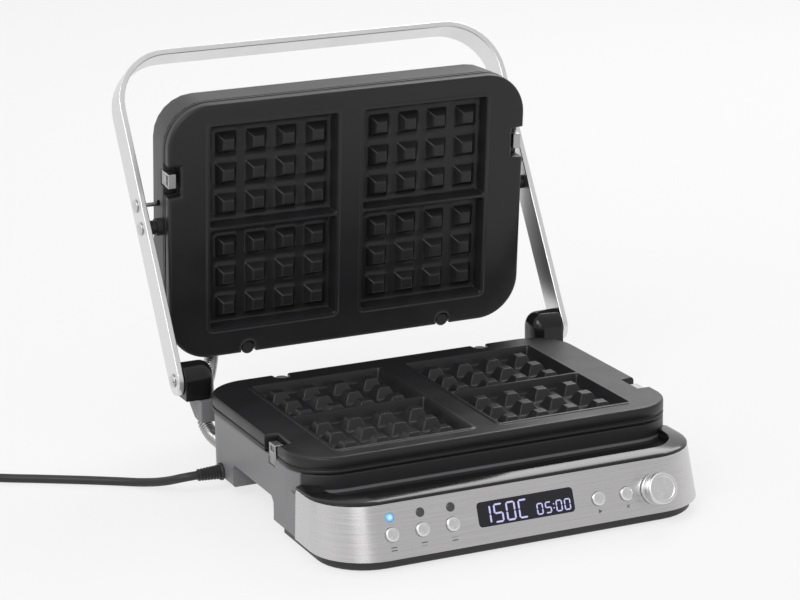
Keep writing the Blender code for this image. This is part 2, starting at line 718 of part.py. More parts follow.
def deck_trim():
    """Gloss black tray between the steel wrap and the plate."""
    profile = ((0.0015, -0.0042), (0.0015, 0.0002), (0.0002, 0.0003), (0.0, 0.0008), (0.0008, 0.0018),
               (0.004, 0.0027), (0.0125, 0.0039), (0.0138, 0.0037), (0.0146, -0.0020))
    rings = []
    for inset, rise in profile:
        points = outline(WRAP_TOP_HALF, WRAP_TOP_FRONT, TRIM_TAIL, WRAP_TOP_CORNER, TRIM_TAIL_CORNER, inset, 9)
        rings.append(at_height(points, WRAP_TOP + rise))
    trim = add("deck_trim", rings_to_bmesh(rings), GLOSS, body_frame, 50.0)
    cut(trim, "trim_block_cut", slab(block_outline(-GAP), 0.0, PLATE_TOP))
    cut(trim, "trim_end_cut", box(-FAR, FAR, WRAP_END, FAR, 0.0, PLATE_TOP))
    return trim


def bottom_cover():
    """Dark plinth under the front box, with sockets for the front feet."""
    half = WRAP_TOP_HALF + WRAP_LEAN_X
    front = WRAP_TOP_FRONT - WRAP_LEAN_Y
    corner = WRAP_TOP_CORNER + WRAP_LEAN_CORNER
    rings = []
    edge = 0.001
    profile = ((RIM_INSET + edge, RIM_BOTTOM), (RIM_INSET, RIM_BOTTOM + edge), (RIM_INSET, WRAP_BOTTOM - GAP))
    for inset, z in profile:
        rings.append(at_height(outline(half, front, ARCH_FRONT - 0.002, corner, 0.008, inset, 9), z))
    cover = add("bottom_cover", rings_to_bmesh(rings), DARK, body_frame)
    feet = bmesh.new()
    for side in (-1, 1):
        place = Matrix.Translation((side * FOOT_X, FRONT_FOOT_Y, 0.0))
        turned(((FOOT_RADIUS + GAP, -0.01), (FOOT_RADIUS + GAP, RIM_BOTTOM + FOOT_SOCKET)), ROUND, feet, place)
    cut(cover, "cover_foot_sockets", feet)
    return cover


def foot(name, x, y, seat):
    """Rubber foot with a rounded sole, pressed in its socket."""
    r = FOOT_RADIUS
    profile = ((r - 0.0025, 0.0), (r - 0.001, 0.0006), (r, seat), (r, seat + FOOT_SOCKET - GAP))
    return add(name, turned(profile, ROUND, None, Matrix.Translation((x, y, 0.0))), RUBBER, body_frame)


def button(name, x):
    """Round push button with a domed face and a hidden flange."""
    face = BUTTON_RADIUS
    flange = face + 0.0010
    stem = 0.0018
    root = BOARD_TOP + 0.0035
    profile = ((stem, root), (stem, -0.0026), (flange, -0.0026), (flange, -0.0014), (face, -0.0012),
               (face, BUTTON_PROUD - 0.0006), (face - 0.0006, BUTTON_PROUD), (stem, BUTTON_PROUD + 0.0004))
    made = add(name, turned(profile, 20), CHROME, panel_frame, 30.0)
    made.location = (x, -BUTTON_DOWN, 0.0)
    return made


def led_lens(name, x):
    """Small lamp lens, with a stem that reaches its diode on the board."""
    stem = LED_RADIUS - 0.0006
    profile = ((stem, BOARD_TOP + 0.001), (stem, -0.0020), (LED_RADIUS, -0.0018), (LED_RADIUS, 0.0),
               (LED_RADIUS - 0.0012, 0.0006))
    made = add(name, turned(profile), LENS, panel_frame)
    made.location = (x, -LED_DOWN, 0.0)
    return made


def block(x, y, half, low, high, bm=None):
    """Square block over a plan point."""
    return box(x - half, x + half, y - half, y + half, low, high, bm)


def control_board():
    """Circuit board on the pocket floor, with tall switches under the buttons."""
    half = POCKET_HALF - GAP
    bm = box(-half, half, -POCKET_BOTTOM + GAP, -POCKET_TOP - GAP, -BOARD_BACK, BOARD_TOP)
    board = add("control_board", bm, BOARD, panel_frame)
    switches = bmesh.new()
    for x in BUTTON_X:
        block(x, -BUTTON_DOWN, 0.003, BOARD_TOP - 0.0005, BOARD_TOP + 0.0017, switches)
    for x in MODE_X:
        block(x, -LED_DOWN, 0.0015, BOARD_TOP - 0.0005, BOARD_TOP + 0.0007, switches)
    cut(board, "board_switches", switches, "UNION")
    return board


def knob_encoder():
    """Rotary encoder: can on the board, bush and shaft out through the panel."""
    can = 0.0065
    bush = SHAFT_RADIUS + 0.0006
    made = add("knob_encoder", block(0.0, 0.0, can, BOARD_TOP + GAP, -0.0055), TIN, panel_frame)
    shaft = turned(((bush, -0.0060), (bush, -0.0002), (SHAFT_RADIUS, 0.0), (SHAFT_RADIUS, 0.0105)))
    cut(made, "encoder_shaft", shaft, "UNION").location = (KNOB_X, -BUTTON_DOWN, 0.0)
    made.location = (KNOB_X, -BUTTON_DOWN, 0.0)
    return made


def knob():
    """Metal dial with a bevelled face and a blind bore over the shaft."""
    r = KNOB_RADIUS
    bore = SHAFT_RADIUS + GAP
    top = KNOB_HEIGHT
    profile = ((bore, 0.0112), (bore, RUN), (r - 0.0008, RUN), (r, RUN + 0.0008), (r - 0.0002, top - 0.0012),
               (r - KNOB_BEVEL, top), (r - 0.0030, top), (r - 0.0036, top - 0.0005), (0.0010, top - 0.0004))
    made = add("knob", turned(profile, 32), CHROME, panel_frame, 30.0)
    made.location = (KNOB_X, -BUTTON_DOWN, 0.0)
    return made


def display():
    """Glass window flush with the steel, and the module behind it."""
    thick = 0.0018
    add("display_window", slab(display_outline(0.0), -thick, -0.0001), GLASS, panel_frame)
    inset = 0.001
    left, right = DISPLAY_LEFT + 2 * inset, DISPLAY_RIGHT - 2 * inset
    body = box(left, right, -DISPLAY_BOTTOM + inset, -DISPLAY_TOP - inset, BOARD_TOP + GAP, -thick - GAP)
    add("display_module", body, DARK, panel_frame)


def hub_section(x, inset, side):
    """Round topped outline of a hinge cover at one station along X."""
    r = HUB_RADIUS - inset
    turns = [math.pi * i / 14 for i in range(15)]
    points = [(side * x, PIVOT_Y + r * math.cos(a), PIVOT_Z + r * math.sin(a)) for a in turns]
    bottom = PIVOT_Z - HUB_DROP + inset * 0.3
    points.append((side * x, PIVOT_Y - r, bottom))
    points.append((side * x, PIVOT_Y + r, bottom))
    return points


def hinge_cover(name, side):
    """Gloss cover over one hinge, domed at its inner end and bored for the bolt."""
    dome = 0.010
    stations = []
    for i in range(6, -1, -1):
        turn = math.pi / 2 * i / 6
        stations.append((HUB_INNER + dome * (1 - math.sin(turn)), HUB_RADIUS * 0.72 * (1 - math.cos(turn))))
    stations += [(HUB_OUTER - 0.0006, 0.0), (HUB_OUTER, 0.0006)]
    sections = [hub_section(x, inset, side) for x, inset in stations]
    cover = add(name, rings_to_bmesh(sections), GLOSS, body_frame, 40.0)
    place = across(side * (HUB_OUTER - BOLT_DEPTH), PIVOT_Y, PIVOT_Z, side)
    bore = turned(((SHANK_RADIUS + GAP, 0.0), (SHANK_RADIUS + GAP, 0.05)), ROUND, None, place)
    cut(cover, name + "_bore", bore)
    return cover


def hinge_bracket(name, side):
    """Upright behind the back wall that carries a hinge cover, its rear foot sloped."""
    top = PIVOT_Z - HUB_DROP - GAP
    front = BLOCK_BACK + GAP
    shape = [(front, BRACKET_BOTTOM), (BRACKET_BACK - 0.012, BRACKET_BOTTOM),
             (BRACKET_BACK, BRACKET_BOTTOM + 0.009), (BRACKET_BACK, top), (front, top)]
    rings = [[(side * x, y, z) for y, z in shape] for x in (BRACKET_INNER, BRACKET_OUTER)]
    bracket = add(name, rings_to_bmesh(rings), SHELL, body_frame)
    soften(bracket, 0.0008)
    return bracket


def screw(name, parent, side, y, inner, radius):
    """Domed screw through an arm, its shank running inward."""
    length = ARM_OUTER + GAP - inner
    head = HEAD_RADIUS
    profile = ((radius, 0.0), (radius, length), (head, length), (head, length + HEAD_HEIGHT * 0.35),
               (head * 0.8, length + HEAD_HEIGHT * 0.8), (head * 0.35, length + HEAD_HEIGHT))
    return add(name, turned(profile, ROUND, None, across(side * inner, y, 0.0, side)), CHROME, parent, 35.0)


def handle_bar():
    """One flat strip bent in a U: two arms with round pivot ends and the grip between them."""
    half = ARM_OUTER - ARM_THICK / 2
    radius = ARM_CORNER - ARM_THICK / 2
    top = ARM_REACH - ARM_THICK / 2
    wide = ARM_WIDTH / 2
    side_path = []
    for i in range(8):
        turn = math.pi / 2 * i / 7
        side_path.append((half, -wide * math.cos(turn), max(wide * math.sin(turn), wide * 0.14), 0.0))
    side_path.append((half, top - radius, wide, 0.0))
    for i in range(1, 11):
        turn = math.pi / 2 * i / 10
        x = half - radius + radius * math.cos(turn)
        side_path.append((x, top - radius + radius * math.sin(turn), wide, turn))
    left = [(-x, y, w, math.pi - turn) for x, y, w, turn in reversed(side_path)]
    bm = bmesh.new()
    sections = []
    for x, y, w, turn in side_path + left:
        out = Vector((math.cos(turn), math.sin(turn), 0.0))
        deep = ARM_THICK / 2
        shape = ((deep, ARM_EDGE - w), (deep, w - ARM_EDGE), (deep - ARM_EDGE, w), (ARM_EDGE - deep, w),
                 (-deep, w - ARM_EDGE), (-deep, ARM_EDGE - w), (ARM_EDGE - deep, -w), (deep - ARM_EDGE, -w))
        sections.append([bm.verts.new(Vector((x, y, rise)) + out * push) for push, rise in shape])
    for a, b in zip(sections, sections[1:]):
        for i in range(8):
            j = (i + 1) % 8
            bm.faces.new((a[i], a[j], b[j], b[i]))
    bm.faces.new(sections[0])
    bm.faces.new(sections[-1][::-1])
    bar = add("handle_bar", bm, SATIN, hinge_frame)
    holes = bmesh.new()
    for side in (-1, 1):
        for y, r in ((0.0, SHANK_RADIUS), (LID_ARM, SHANK_RADIUS), (LID_ARM + PIN_SPACING, GUIDE_RADIUS)):
            place = across(side * (ARM_OUTER - ARM_THICK - 0.004), y, 0.0, side)
            turned(((r + GAP, 0.0), (r + GAP, ARM_THICK + 0.008)), ROUND, holes, place)
    cut(bar, "handle_holes", holes)
    return bar


def lid_outline(inset=0.0):
    return outline(PLATE_HALF, -PLATE_BACK, -PLATE_FRONT, PLATE_CORNER, PLATE_CORNER, inset)


def guide_slot(side, bm):
    """Curved channel that the guide pin sweeps as the lid levels itself."""
    start = OPEN_ANGLE - LID_OPEN
    stop = CLOSED_ANGLE - math.pi
    wide = GUIDE_RADIUS + RUN
    rings_points = []
    steps = 8
    for i in range(steps + 1):
        turn = math.pi / 2 + start + (stop - start) * i / steps
        rings_points.append((turn, PIN_SPACING + wide))
    for i in range(1, 6):
        a = math.pi * i / 6
        turn = math.pi / 2 + stop
        centre = Vector((math.cos(turn), math.sin(turn))) * PIN_SPACING
        spot = centre + Vector((math.cos(turn + a), math.sin(turn + a))) * wide
        rings_points.append((math.atan2(spot.y, spot.x), spot.length))
    for i in range(steps, -1, -1):
        turn = math.pi / 2 + start + (stop - start) * i / steps
        rings_points.append((turn, PIN_SPACING - wide))
    for i in range(1, 6):
        a = math.pi * i / 6
        turn = math.pi / 2 + start
        centre = Vector((math.cos(turn), math.sin(turn))) * PIN_SPACING
        spot = centre - Vector((math.cos(turn + a), math.sin(turn + a))) * wide
        rings_points.append((math.atan2(spot.y, spot.x), spot.length))
    deep = PLATE_HALF - SLOT_DEPTH
    plan = [(reach * math.sin(turn), -reach * math.cos(turn)) for turn, reach in rings_points]
    rings_to_bmesh([[(side * x, y, z) for y, z in plan] for x in (deep, PLATE_HALF + 0.003)], bm)


def lid_housing():
    """Lid shell: straight walls drawn in a little, rounded back, side bosses and slots."""
    low = LID_BACK + LID_ROUND
    rings = [at_height(lid_outline(0.0), LID_RIM), at_height(lid_outline(0.0), LID_RIM - 0.003)]
    for i in range(6):
        turn = math.pi / 2 * i / 5
        inset = LID_TAPER + LID_ROUND * (1 - math.cos(turn))
        rings.append(at_height(lid_outline(inset), low - LID_ROUND * math.sin(turn)))
    shell = add("lid_housing", rings_to_bmesh(rings[::-1]), DARK, lid_frame, 35.0)
    bosses = bmesh.new()
    for side in (-1, 1):
        start = PLATE_HALF - LID_TAPER - 0.004
        length = ARM_OUTER - ARM_THICK - GAP - start
        wide = BOSS_RADIUS + 0.0015
        profile = ((wide, 0.0), (wide, length - 0.007), (BOSS_RADIUS, length - 0.0065), (BOSS_RADIUS, length))
        turned(profile, 20, bosses, across(side * start, 0.0, 0.0, side))
        place = Matrix.Translation((side * HOOK_X, -BLOCK_BACK, 0.0))
        turned(hook_profile(LID_RIM), ROUND, bosses, place)
    cut(shell, "lid_bosses", bosses, "UNION")
    cut(shell, "lid_pan", pan_cutter(-PAN_BACK, -PAN_FRONT, LID_RIM - PAN_DEPTH, LID_RIM + 0.01))
    details = bmesh.new()
    for side in (-1, 1):
        depth = ARM_OUTER - ARM_THICK - GAP - SCREW_INNER + 0.001
        bore = ((SHANK_RADIUS + GAP, 0.0), (SHANK_RADIUS + GAP, depth + 0.01))
        turned(bore, ROUND, details, across(side * (SCREW_INNER - 0.001), 0.0, 0.0, side))
        guide_slot(side, details)
        clip_slot(side, LID_RIM, 1.0, details, NOTCH_Y)
    hose_spot = Matrix.Translation((HOSE_LID_X, -PLATE_BACK + 0.006, HOSE_LID_Z))
    hose = hose_spot @ Matrix.Rotation(math.pi / 2, 4, "X")
    turned(((HOSE_RADIUS + GAP, 0.0), (HOSE_RADIUS + GAP, 0.03)), ROUND, details, hose)
    cut(shell, "lid_details", details)
    return shell


def release_clip(name, side, seat, y):
    """Spring catch: a foot in the housing slot and a nose in the plate's notch."""
    low = BLOCK_TOP - PLATE_TOP - CLIP_ROOT
    x0, x1 = sorted((side * CLIP_INNER, side * CLIP_OUTER))
    bm = box(x0, x1, y - CLIP_LENGTH / 2, y + CLIP_LENGTH / 2, low, -0.0030)
    clip = add(name, bm, CHROME, seat)
    clip_groove = bmesh.new()
    g0, g1 = sorted((side * (CLIP_OUTER - 0.0025), side * (CLIP_OUTER + 0.01)))
    box(g0, g1, y - CLIP_LENGTH / 2 + 0.002, y + CLIP_LENGTH / 2 - 0.002, -0.0090, -0.0050, clip_groove)
    cut(clip, name + "_thumb_recess", clip_groove)
    soften(clip, 0.0004, 1)
    return clip


def wire_hose():
    """Ribbed metal hose for the lid wires, from the back wall up into the lid."""
    lid_point = lid_matrix() @ Vector((HOSE_LID_X, -PLATE_BACK + 0.0055, HOSE_LID_Z))
    lid_out = (lid_matrix().to_3x3() @ Vector((0.0, -1.0, 0.0))) * 0.014
    end = lid_point - Vector((0.0, SHIFT, 0.0))
    near = end + lid_out
    points = [(HOSE_X, BLOCK_BACK - 0.0055, HOSE_EXIT_Z), (HOSE_X, BLOCK_BACK + 0.008, HOSE_EXIT_Z)]
    points += [(HOSE_X + x, BLOCK_BACK + y, HOSE_EXIT_Z + z) for x, y, z in HOSE_BENDS]
    points += [tuple(near), tuple(near.lerp(end, 0.5)), tuple(end)]
    route = smooth_route(points, HOSE_PITCH / 2)
    straight = int(2 * HOSE_RADIUS / (HOSE_PITCH / 2))
    radii = []
    for i in range(len(route)):
        plain = i < straight or i >= len(route) - straight
        radii.append(HOSE_ROOT if plain or i % 2 else HOSE_RADIUS)
    hose = curve_mesh("wire_hose", route, 1.0, STEEL, body_frame, 2, radii)
    bore_route = smooth_route(points, HOSE_PITCH * 2)
    first, last = Vector(bore_route[0]), Vector(bore_route[-1])
    bore_route[0] = tuple(first + (first - Vector(bore_route[1])).normalized() * 0.002)
    bore_route[-1] = tuple(last + (last - Vector(bore_route[-2])).normalized() * 0.002)
    bore = curve_mesh("hose_bore", bore_route, HOSE_BORE, DARK, body_frame, 1)
    for thing in (hose, bore):
        to_mesh(thing)
    hose = bpy.data.objects["wire_hose"]
    bore = bpy.data.objects["hose_bore"]
    bore.hide_render = True
    bore.display_type = "WIRE"
    modifier = hose.modifiers.new("bore", "BOOLEAN")
    modifier.object = bore
    modifier.operation = "DIFFERENCE"
    modifier.solver = "EXACT"
    return hose


def to_mesh(thing):
    """Replace a curve object by its mesh, under the same name."""
    mesh = bpy.data.meshes.new_from_object(thing)
    name, parent = thing.name, thing.parent
    bpy.data.objects.remove(thing, do_unlink=True)
    made = bpy.data.objects.new(name, mesh)
    bpy.context.collection.objects.link(made)
    made.parent = parent
    mesh.shade_smooth()
    return made


def lid_matrix():
    """World placement of the lid frame, from the same angles as its empties."""
    hinge = Matrix.Translation((0.0, SHIFT + PIVOT_Y, PIVOT_Z)) @ Matrix.Rotation(OPEN_ANGLE, 4, "X")
    return hinge @ Matrix.Translation((0.0, LID_ARM, 0.0)) @ Matrix.Rotation(LID_OPEN - OPEN_ANGLE, 4, "X")


def cord_gland():
    """Strain relief of the cord: a plug in the side wall, a flange, and a ribbed taper outside."""
    bore = CORD_RADIUS + GAP
    inner = 0.0008
    flange = GLAND_RADIUS + 0.0012
    tip = bore + 0.0009
    start = GLAND_DEPTH + 0.0026
    end = GLAND_DEPTH + GLAND_LENGTH
    profile = [(bore, end), (bore, inner), (GLAND_RADIUS, inner), (GLAND_RADIUS, GLAND_DEPTH + GAP),
               (flange, GLAND_DEPTH + GAP), (flange, start)]
    ribs = 4
    steps = 12
    for i in range(ribs):
        share = i / ribs
        radius = GLAND_RADIUS + (tip - GLAND_RADIUS) * share
        height = start + (end - start) * share
        pitch = (end - start) / ribs
        profile += [(radius - 0.0007, height + 0.08 * pitch), (radius - 0.0007, height + 0.36 * pitch),
                    (radius, height + 0.44 * pitch)]
    profile.append((tip, end))
    place = across(-PLATE_HALF + GLAND_DEPTH, CORD_EXIT_Y, CORD_EXIT_Z, -1)
    bm = bmesh.new()
    levels = []
    for radius, height in profile:
        turns = [2 * math.pi * i / steps for i in range(steps)]
        ring = [place @ Vector((radius * math.cos(a), radius * math.sin(a), height)) for a in turns]
        levels.append([bm.verts.new(point) for point in ring])
    for below, above in zip(levels, levels[1:] + levels[:1]):
        for i in range(steps):
            j = (i + 1) % steps
            bm.faces.new((below[i], below[j], above[j], above[i]))
    return add("cord_gland", bm, RUBBER, body_frame)


def coil_points():
    """Loops stacked on the floor, with straight ends that meet the free stretches."""
    steps = round(24 * COIL_TURNS)
    points = []
    for i in range(steps + 1):
        turn = COIL_START + 2 * math.pi * COIL_TURNS * i / steps
        z = CORD_Z + COIL_RISE * COIL_TURNS * i / steps
        points.append(Vector((COIL_X + COIL_RADIUS * math.cos(turn), COIL_Y + COIL_RADIUS * math.sin(turn), z)))
    last = COIL_START + 2 * math.pi * COIL_TURNS
    straight = 2 * CORD_RADIUS
    start_way = Vector((-math.sin(COIL_START), math.cos(COIL_START), 0.0))
    end_way = Vector((-math.sin(last), math.cos(last), 0.0))
    points.insert(0, points[0] - start_way * straight)
    points.append(points[-1] + end_way * straight)
    return points, start_way, end_way


def least_gap(points, radius):
    """Smallest clear distance of the coil's tube to itself, between separate loops."""
    spots = np.array([tuple(p) for p in points])
    best = 1.0
    for i in range(len(spots)):
        for j in range(i + 8, len(spots) - 1):
            a, b = spots[j], spots[j + 1]
            share = np.clip(np.dot(spots[i] - a, b - a) / np.dot(b - a, b - a), 0, 1)
            best = min(best, float(np.linalg.norm(spots[i] - a - share * (b - a))))
    return best - 2 * radius


def cord():
    """Mains cord: free stretch over the floor, coil, short lead and plug."""
    loops, start_way, end_way = coil_points()
    meet = loops[0] - start_way * GAP
    route = [
        (-PLATE_HALF + GLAND_DEPTH - 0.0015, CORD_EXIT_Y, CORD_EXIT_Z), (-0.166, CORD_EXIT_Y, CORD_EXIT_Z),
        (-0.174, CORD_EXIT_Y, CORD_EXIT_Z), (-0.182, CORD_EXIT_Y, CORD_EXIT_Z), (-0.1905, 0.0688, 0.0143),
        (-0.201, 0.0805, 0.0096), (-0.213, 0.0975, 0.0052), (-0.229, 0.1135, CORD_Z), (-0.252, 0.1290, CORD_Z),
        (-0.282, 0.1480, CORD_Z), (-0.317, 0.1700, CORD_Z),
        tuple(meet - start_way * 0.012), tuple(meet),
    ]
    curve_mesh("cord", smooth_route(route, 2.2 * 2 * CORD_RADIUS), CORD_RADIUS, RUBBER, body_frame, 2)
    curve_mesh("cord_coil", loops, CORD_RADIUS, RUBBER, body_frame, 1)
    print("least gap of the coil to itself, mm:", round(least_gap(loops, CORD_RADIUS) * 1000, 3))
    leave = loops[-1] + end_way * GAP
    plug_spot = Vector((leave.x - 0.001, leave.y - 0.052, PLUG_RADIUS + GAP))
    lead = [tuple(leave), tuple(leave + end_way * 0.010), (leave.x - 0.0005, leave.y - 0.028, leave.z - 0.0055),
            tuple(plug_spot + Vector((0.0, 0.010, 0.0))), tuple(plug_spot + Vector((0.0, GAP, 0.0)))]
    curve_mesh("plug_lead", smooth_route(lead, 2 * CORD_RADIUS), CORD_RADIUS, RUBBER, body_frame, 2)
    plug(plug_spot)


def plug(spot):
    """Round two pin plug with a tapered relief, lying on the floor."""
    r = PLUG_RADIUS
    profile = ((0.0048, 0.0), (0.0058, 0.014), (0.0062, 0.016), (0.0110, 0.021), (0.0140, 0.028),
               (0.0148, 0.038), (0.0160, 0.041), (r, 0.043), (r, 0.058), (r - 0.0012, 0.0595))
    place = Matrix.Translation(spot) @ Matrix.Rotation(math.pi / 2, 4, "X")
    body = add("plug", turned(profile, 24, None, place), RUBBER, body_frame)
    pins = bmesh.new()
    for side in (-1, 1):
        spot = place @ Matrix.Translation((side * PIN_GAP / 2, 0.0, 0.0))
        turned(((PIN_RADIUS, 0.055), (PIN_RADIUS, 0.0765), (PIN_RADIUS - 0.001, 0.0785)), 12, pins, spot)
    cut(body, "plug_pins", pins, "UNION")
    return body


def build():
    waffle_plate("lower_plate", lower_seat)
    waffle_plate("upper_plate", upper_seat)
    base_housing()
    front_panel()
    deck_trim()
    bottom_cover()
    for label, x in (("left", -FOOT_X), ("right", FOOT_X)):
        foot("front_foot_" + label, x, FRONT_FOOT_Y, RIM_BOTTOM)
        foot("rear_foot_" + label, x, REAR_FOOT_Y, LEG_BOTTOM)
    reflector("lower_reflector", lower_seat)
    reflector("upper_reflector", upper_seat)
    heating_element("lower_heating_element", lower_seat)
    heating_element("upper_heating_element", upper_seat)
    for label, x in zip(("both_plates", "upper_plate", "lower_plate", "start", "cancel"), BUTTON_X):
        button(label + "_button", x)
    for i, x in enumerate(MODE_X):
        led_lens("indicator_lens_" + str(i + 1), x)
    control_board()
    knob_encoder()
    knob()
    display()
    handle_bar()
    lid_housing()
    for label, side in (("left", -1), ("right", 1)):
        hinge_cover("hinge_cover_" + label, side)
        hinge_bracket("hinge_bracket_" + label, side)
        bolt_end = HUB_OUTER - BOLT_DEPTH + 0.001
        pin_end = PLATE_HALF - SLOT_DEPTH + 0.0006
        screw("pivot_bolt_" + label, body_frame, side, PIVOT_Y, bolt_end, SHANK_RADIUS).location.z = PIVOT_Z
        screw("lid_pivot_screw_" + label, hinge_frame, side, LID_ARM, SCREW_INNER, SHANK_RADIUS)
        screw("guide_pin_" + label, hinge_frame, side, LID_ARM + PIN_SPACING, pin_end, GUIDE_RADIUS)
        release_clip("lower_clip_" + label, side, lower_seat, -NOTCH_Y)
        release_clip("upper_clip_" + label, -side, upper_seat, -NOTCH_Y)
    wire_hose()
    cord_gland()
    cord()


build()
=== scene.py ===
"""Countertop contact grill, open, on a pale studio floor.

The file follows the grill as it is put together: studio and camera, base, hinge, lid, plates,
controls, hose and cord. Lengths are metres, X to the right, Y to the back, Z up.
"""

import math

import bmesh
import bpy
import numpy as np
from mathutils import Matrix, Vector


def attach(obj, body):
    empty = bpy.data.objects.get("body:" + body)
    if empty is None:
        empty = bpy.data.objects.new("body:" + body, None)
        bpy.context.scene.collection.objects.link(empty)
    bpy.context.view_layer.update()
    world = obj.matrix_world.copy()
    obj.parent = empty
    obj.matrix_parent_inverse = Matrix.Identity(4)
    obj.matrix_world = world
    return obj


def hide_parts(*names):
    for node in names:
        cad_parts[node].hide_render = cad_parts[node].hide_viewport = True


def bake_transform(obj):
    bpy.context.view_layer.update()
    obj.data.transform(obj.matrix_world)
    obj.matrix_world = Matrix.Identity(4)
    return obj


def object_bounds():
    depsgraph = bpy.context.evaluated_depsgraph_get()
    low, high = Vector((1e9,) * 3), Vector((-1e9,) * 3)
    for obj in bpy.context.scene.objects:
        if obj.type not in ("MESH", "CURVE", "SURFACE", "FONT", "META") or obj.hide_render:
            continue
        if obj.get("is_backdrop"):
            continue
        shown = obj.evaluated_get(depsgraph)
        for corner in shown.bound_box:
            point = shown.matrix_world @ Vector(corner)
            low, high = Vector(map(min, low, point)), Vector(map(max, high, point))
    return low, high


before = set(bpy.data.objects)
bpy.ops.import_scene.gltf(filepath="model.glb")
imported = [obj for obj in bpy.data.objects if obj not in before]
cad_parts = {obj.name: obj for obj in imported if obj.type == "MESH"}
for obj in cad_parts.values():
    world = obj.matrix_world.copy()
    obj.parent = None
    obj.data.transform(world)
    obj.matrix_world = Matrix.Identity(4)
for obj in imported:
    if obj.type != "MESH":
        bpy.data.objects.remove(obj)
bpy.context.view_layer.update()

# studio floor, world and lamps
# A pale seamless floor under a soft white tent. The floor is painted white for camera and mirror
# rays, and keeps part of its lit shade, so that the shadow under the grill stays.
tent_white = 1.0
floor_paint = 0.82
floor_glow = 0.74
air_light = 0.55
tent_front, tent_back = 0.66, 1.0


def seen_rays(tree):
    """1 for camera, mirror and glass rays, 0 for the light itself: the larger of the three flags."""
    path = tree.nodes.new("ShaderNodeLightPath")
    first = tree.nodes.new("ShaderNodeMath")
    first.operation = "MAXIMUM"
    second = tree.nodes.new("ShaderNodeMath")
    second.operation = "MAXIMUM"
    tree.links.new(path.outputs["Is Camera Ray"], first.inputs[0])
    tree.links.new(path.outputs["Is Glossy Ray"], first.inputs[1])
    tree.links.new(first.outputs[0], second.inputs[0])
    tree.links.new(path.outputs["Is Transmission Ray"], second.inputs[1])
    return second.outputs[0]


floor_look = bpy.data.materials.new("studio_floor")
floor_look.use_nodes = True
tree = floor_look.node_tree
tree.nodes.clear()
paint = tree.nodes.new("ShaderNodeBsdfDiffuse")
paint.inputs["Color"].default_value = (floor_paint, floor_paint, floor_paint, 1.0)
glow = tree.nodes.new("ShaderNodeEmission")
glow.inputs["Color"].default_value = (1.0, 1.0, 1.0, 1.0)
glow.inputs["Strength"].default_value = tent_white
share = tree.nodes.new("ShaderNodeMath")
share.operation = "MULTIPLY"
share.inputs[1].default_value = floor_glow
tree.links.new(seen_rays(tree), share.inputs[0])
blend_floor = tree.nodes.new("ShaderNodeMixShader")
tree.links.new(share.outputs[0], blend_floor.inputs[0])
tree.links.new(paint.outputs[0], blend_floor.inputs[1])
tree.links.new(glow.outputs[0], blend_floor.inputs[2])
out = tree.nodes.new("ShaderNodeOutputMaterial")
tree.links.new(blend_floor.outputs[0], out.inputs["Surface"])

reach = 30.0
floor_mesh = bpy.data.meshes.new("studio_floor")
floor_corners = [(-reach, -reach, 0.0), (reach, -reach, 0.0), (reach, reach, 0.0), (-reach, reach, 0.0)]
floor_mesh.from_pydata(floor_corners, [], [(0, 1, 2, 3)])
floor_mesh.materials.append(floor_look)
floor = bpy.data.objects.new("studio_floor", floor_mesh)
bpy.context.scene.collection.objects.link(floor)
floor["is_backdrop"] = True

world = bpy.data.worlds.new("tent")
bpy.context.scene.world = world
world.use_nodes = True
tree = world.node_tree
tree.nodes.clear()
way = tree.nodes.new("ShaderNodeTexCoord")
parts = tree.nodes.new("ShaderNodeSeparateXYZ")
tree.links.new(way.outputs["Generated"], parts.inputs[0])
fade = tree.nodes.new("ShaderNodeMapRange")
fade.inputs["From Min"].default_value = -0.9
fade.inputs["From Max"].default_value = 0.5
fade.inputs["To Min"].default_value = tent_front
fade.inputs["To Max"].default_value = tent_back
tree.links.new(parts.outputs["Y"], fade.inputs["Value"])
tent = tree.nodes.new("ShaderNodeBackground")
tree.links.new(fade.outputs["Result"], tent.inputs["Strength"])
air = tree.nodes.new("ShaderNodeBackground")
air.inputs["Color"].default_value = (1.0, 1.0, 1.0, 1.0)
air.inputs["Strength"].default_value = air_light
pick = tree.nodes.new("ShaderNodeMixShader")
tree.links.new(seen_rays(tree), pick.inputs[0])
tree.links.new(air.outputs[0], pick.inputs[1])
tree.links.new(tent.outputs[0], pick.inputs[2])
flag = tree.nodes.new("ShaderNodeLightPath")
white = tree.nodes.new("ShaderNodeBackground")
white.inputs["Strength"].default_value = tent_white
last = tree.nodes.new("ShaderNodeMixShader")
tree.links.new(flag.outputs["Is Camera Ray"], last.inputs[0])
tree.links.new(pick.outputs[0], last.inputs[1])
tree.links.new(white.outputs[0], last.inputs[2])
out = tree.nodes.new("ShaderNodeOutputWorld")
tree.links.new(last.outputs[0], out.inputs["Surface"])
for node in (tent, white):
    node.inputs["Color"].default_value = (1.0, 1.0, 1.0, 1.0)


def lamp(name, place, aim, wide, watts):
    """Square soft lamp whose -Z axis looks from its place at the aim."""
    data = bpy.data.lights.new(name, "AREA")
    data.shape = "SQUARE"
    data.size = wide
    data.energy = watts
    made = bpy.data.objects.new(name, data)
    bpy.context.scene.collection.objects.link(made)
    ahead = np.subtract(aim, place)
    flat = math.hypot(ahead[0], ahead[1])
    made.location = place
    made.rotation_euler = (math.atan2(flat, -ahead[2]), 0.0, math.atan2(-ahead[0], ahead[1]))


lamp("key_lamp", (-1.7, -1.2, 2.0), (0.0, 0.0, 0.1), 1.3, 26.0)
lamp("front_lamp", (-1.3, -2.5, 1.5), (0.0, 0.0, 0.1), 1.4, 9.0)
lamp("rim_lamp", (1.4, 1.4, 1.9), (0.0, 0.0, 0.15), 1.2, 22.0)
bpy.context.scene.view_settings.view_transform = "Standard"

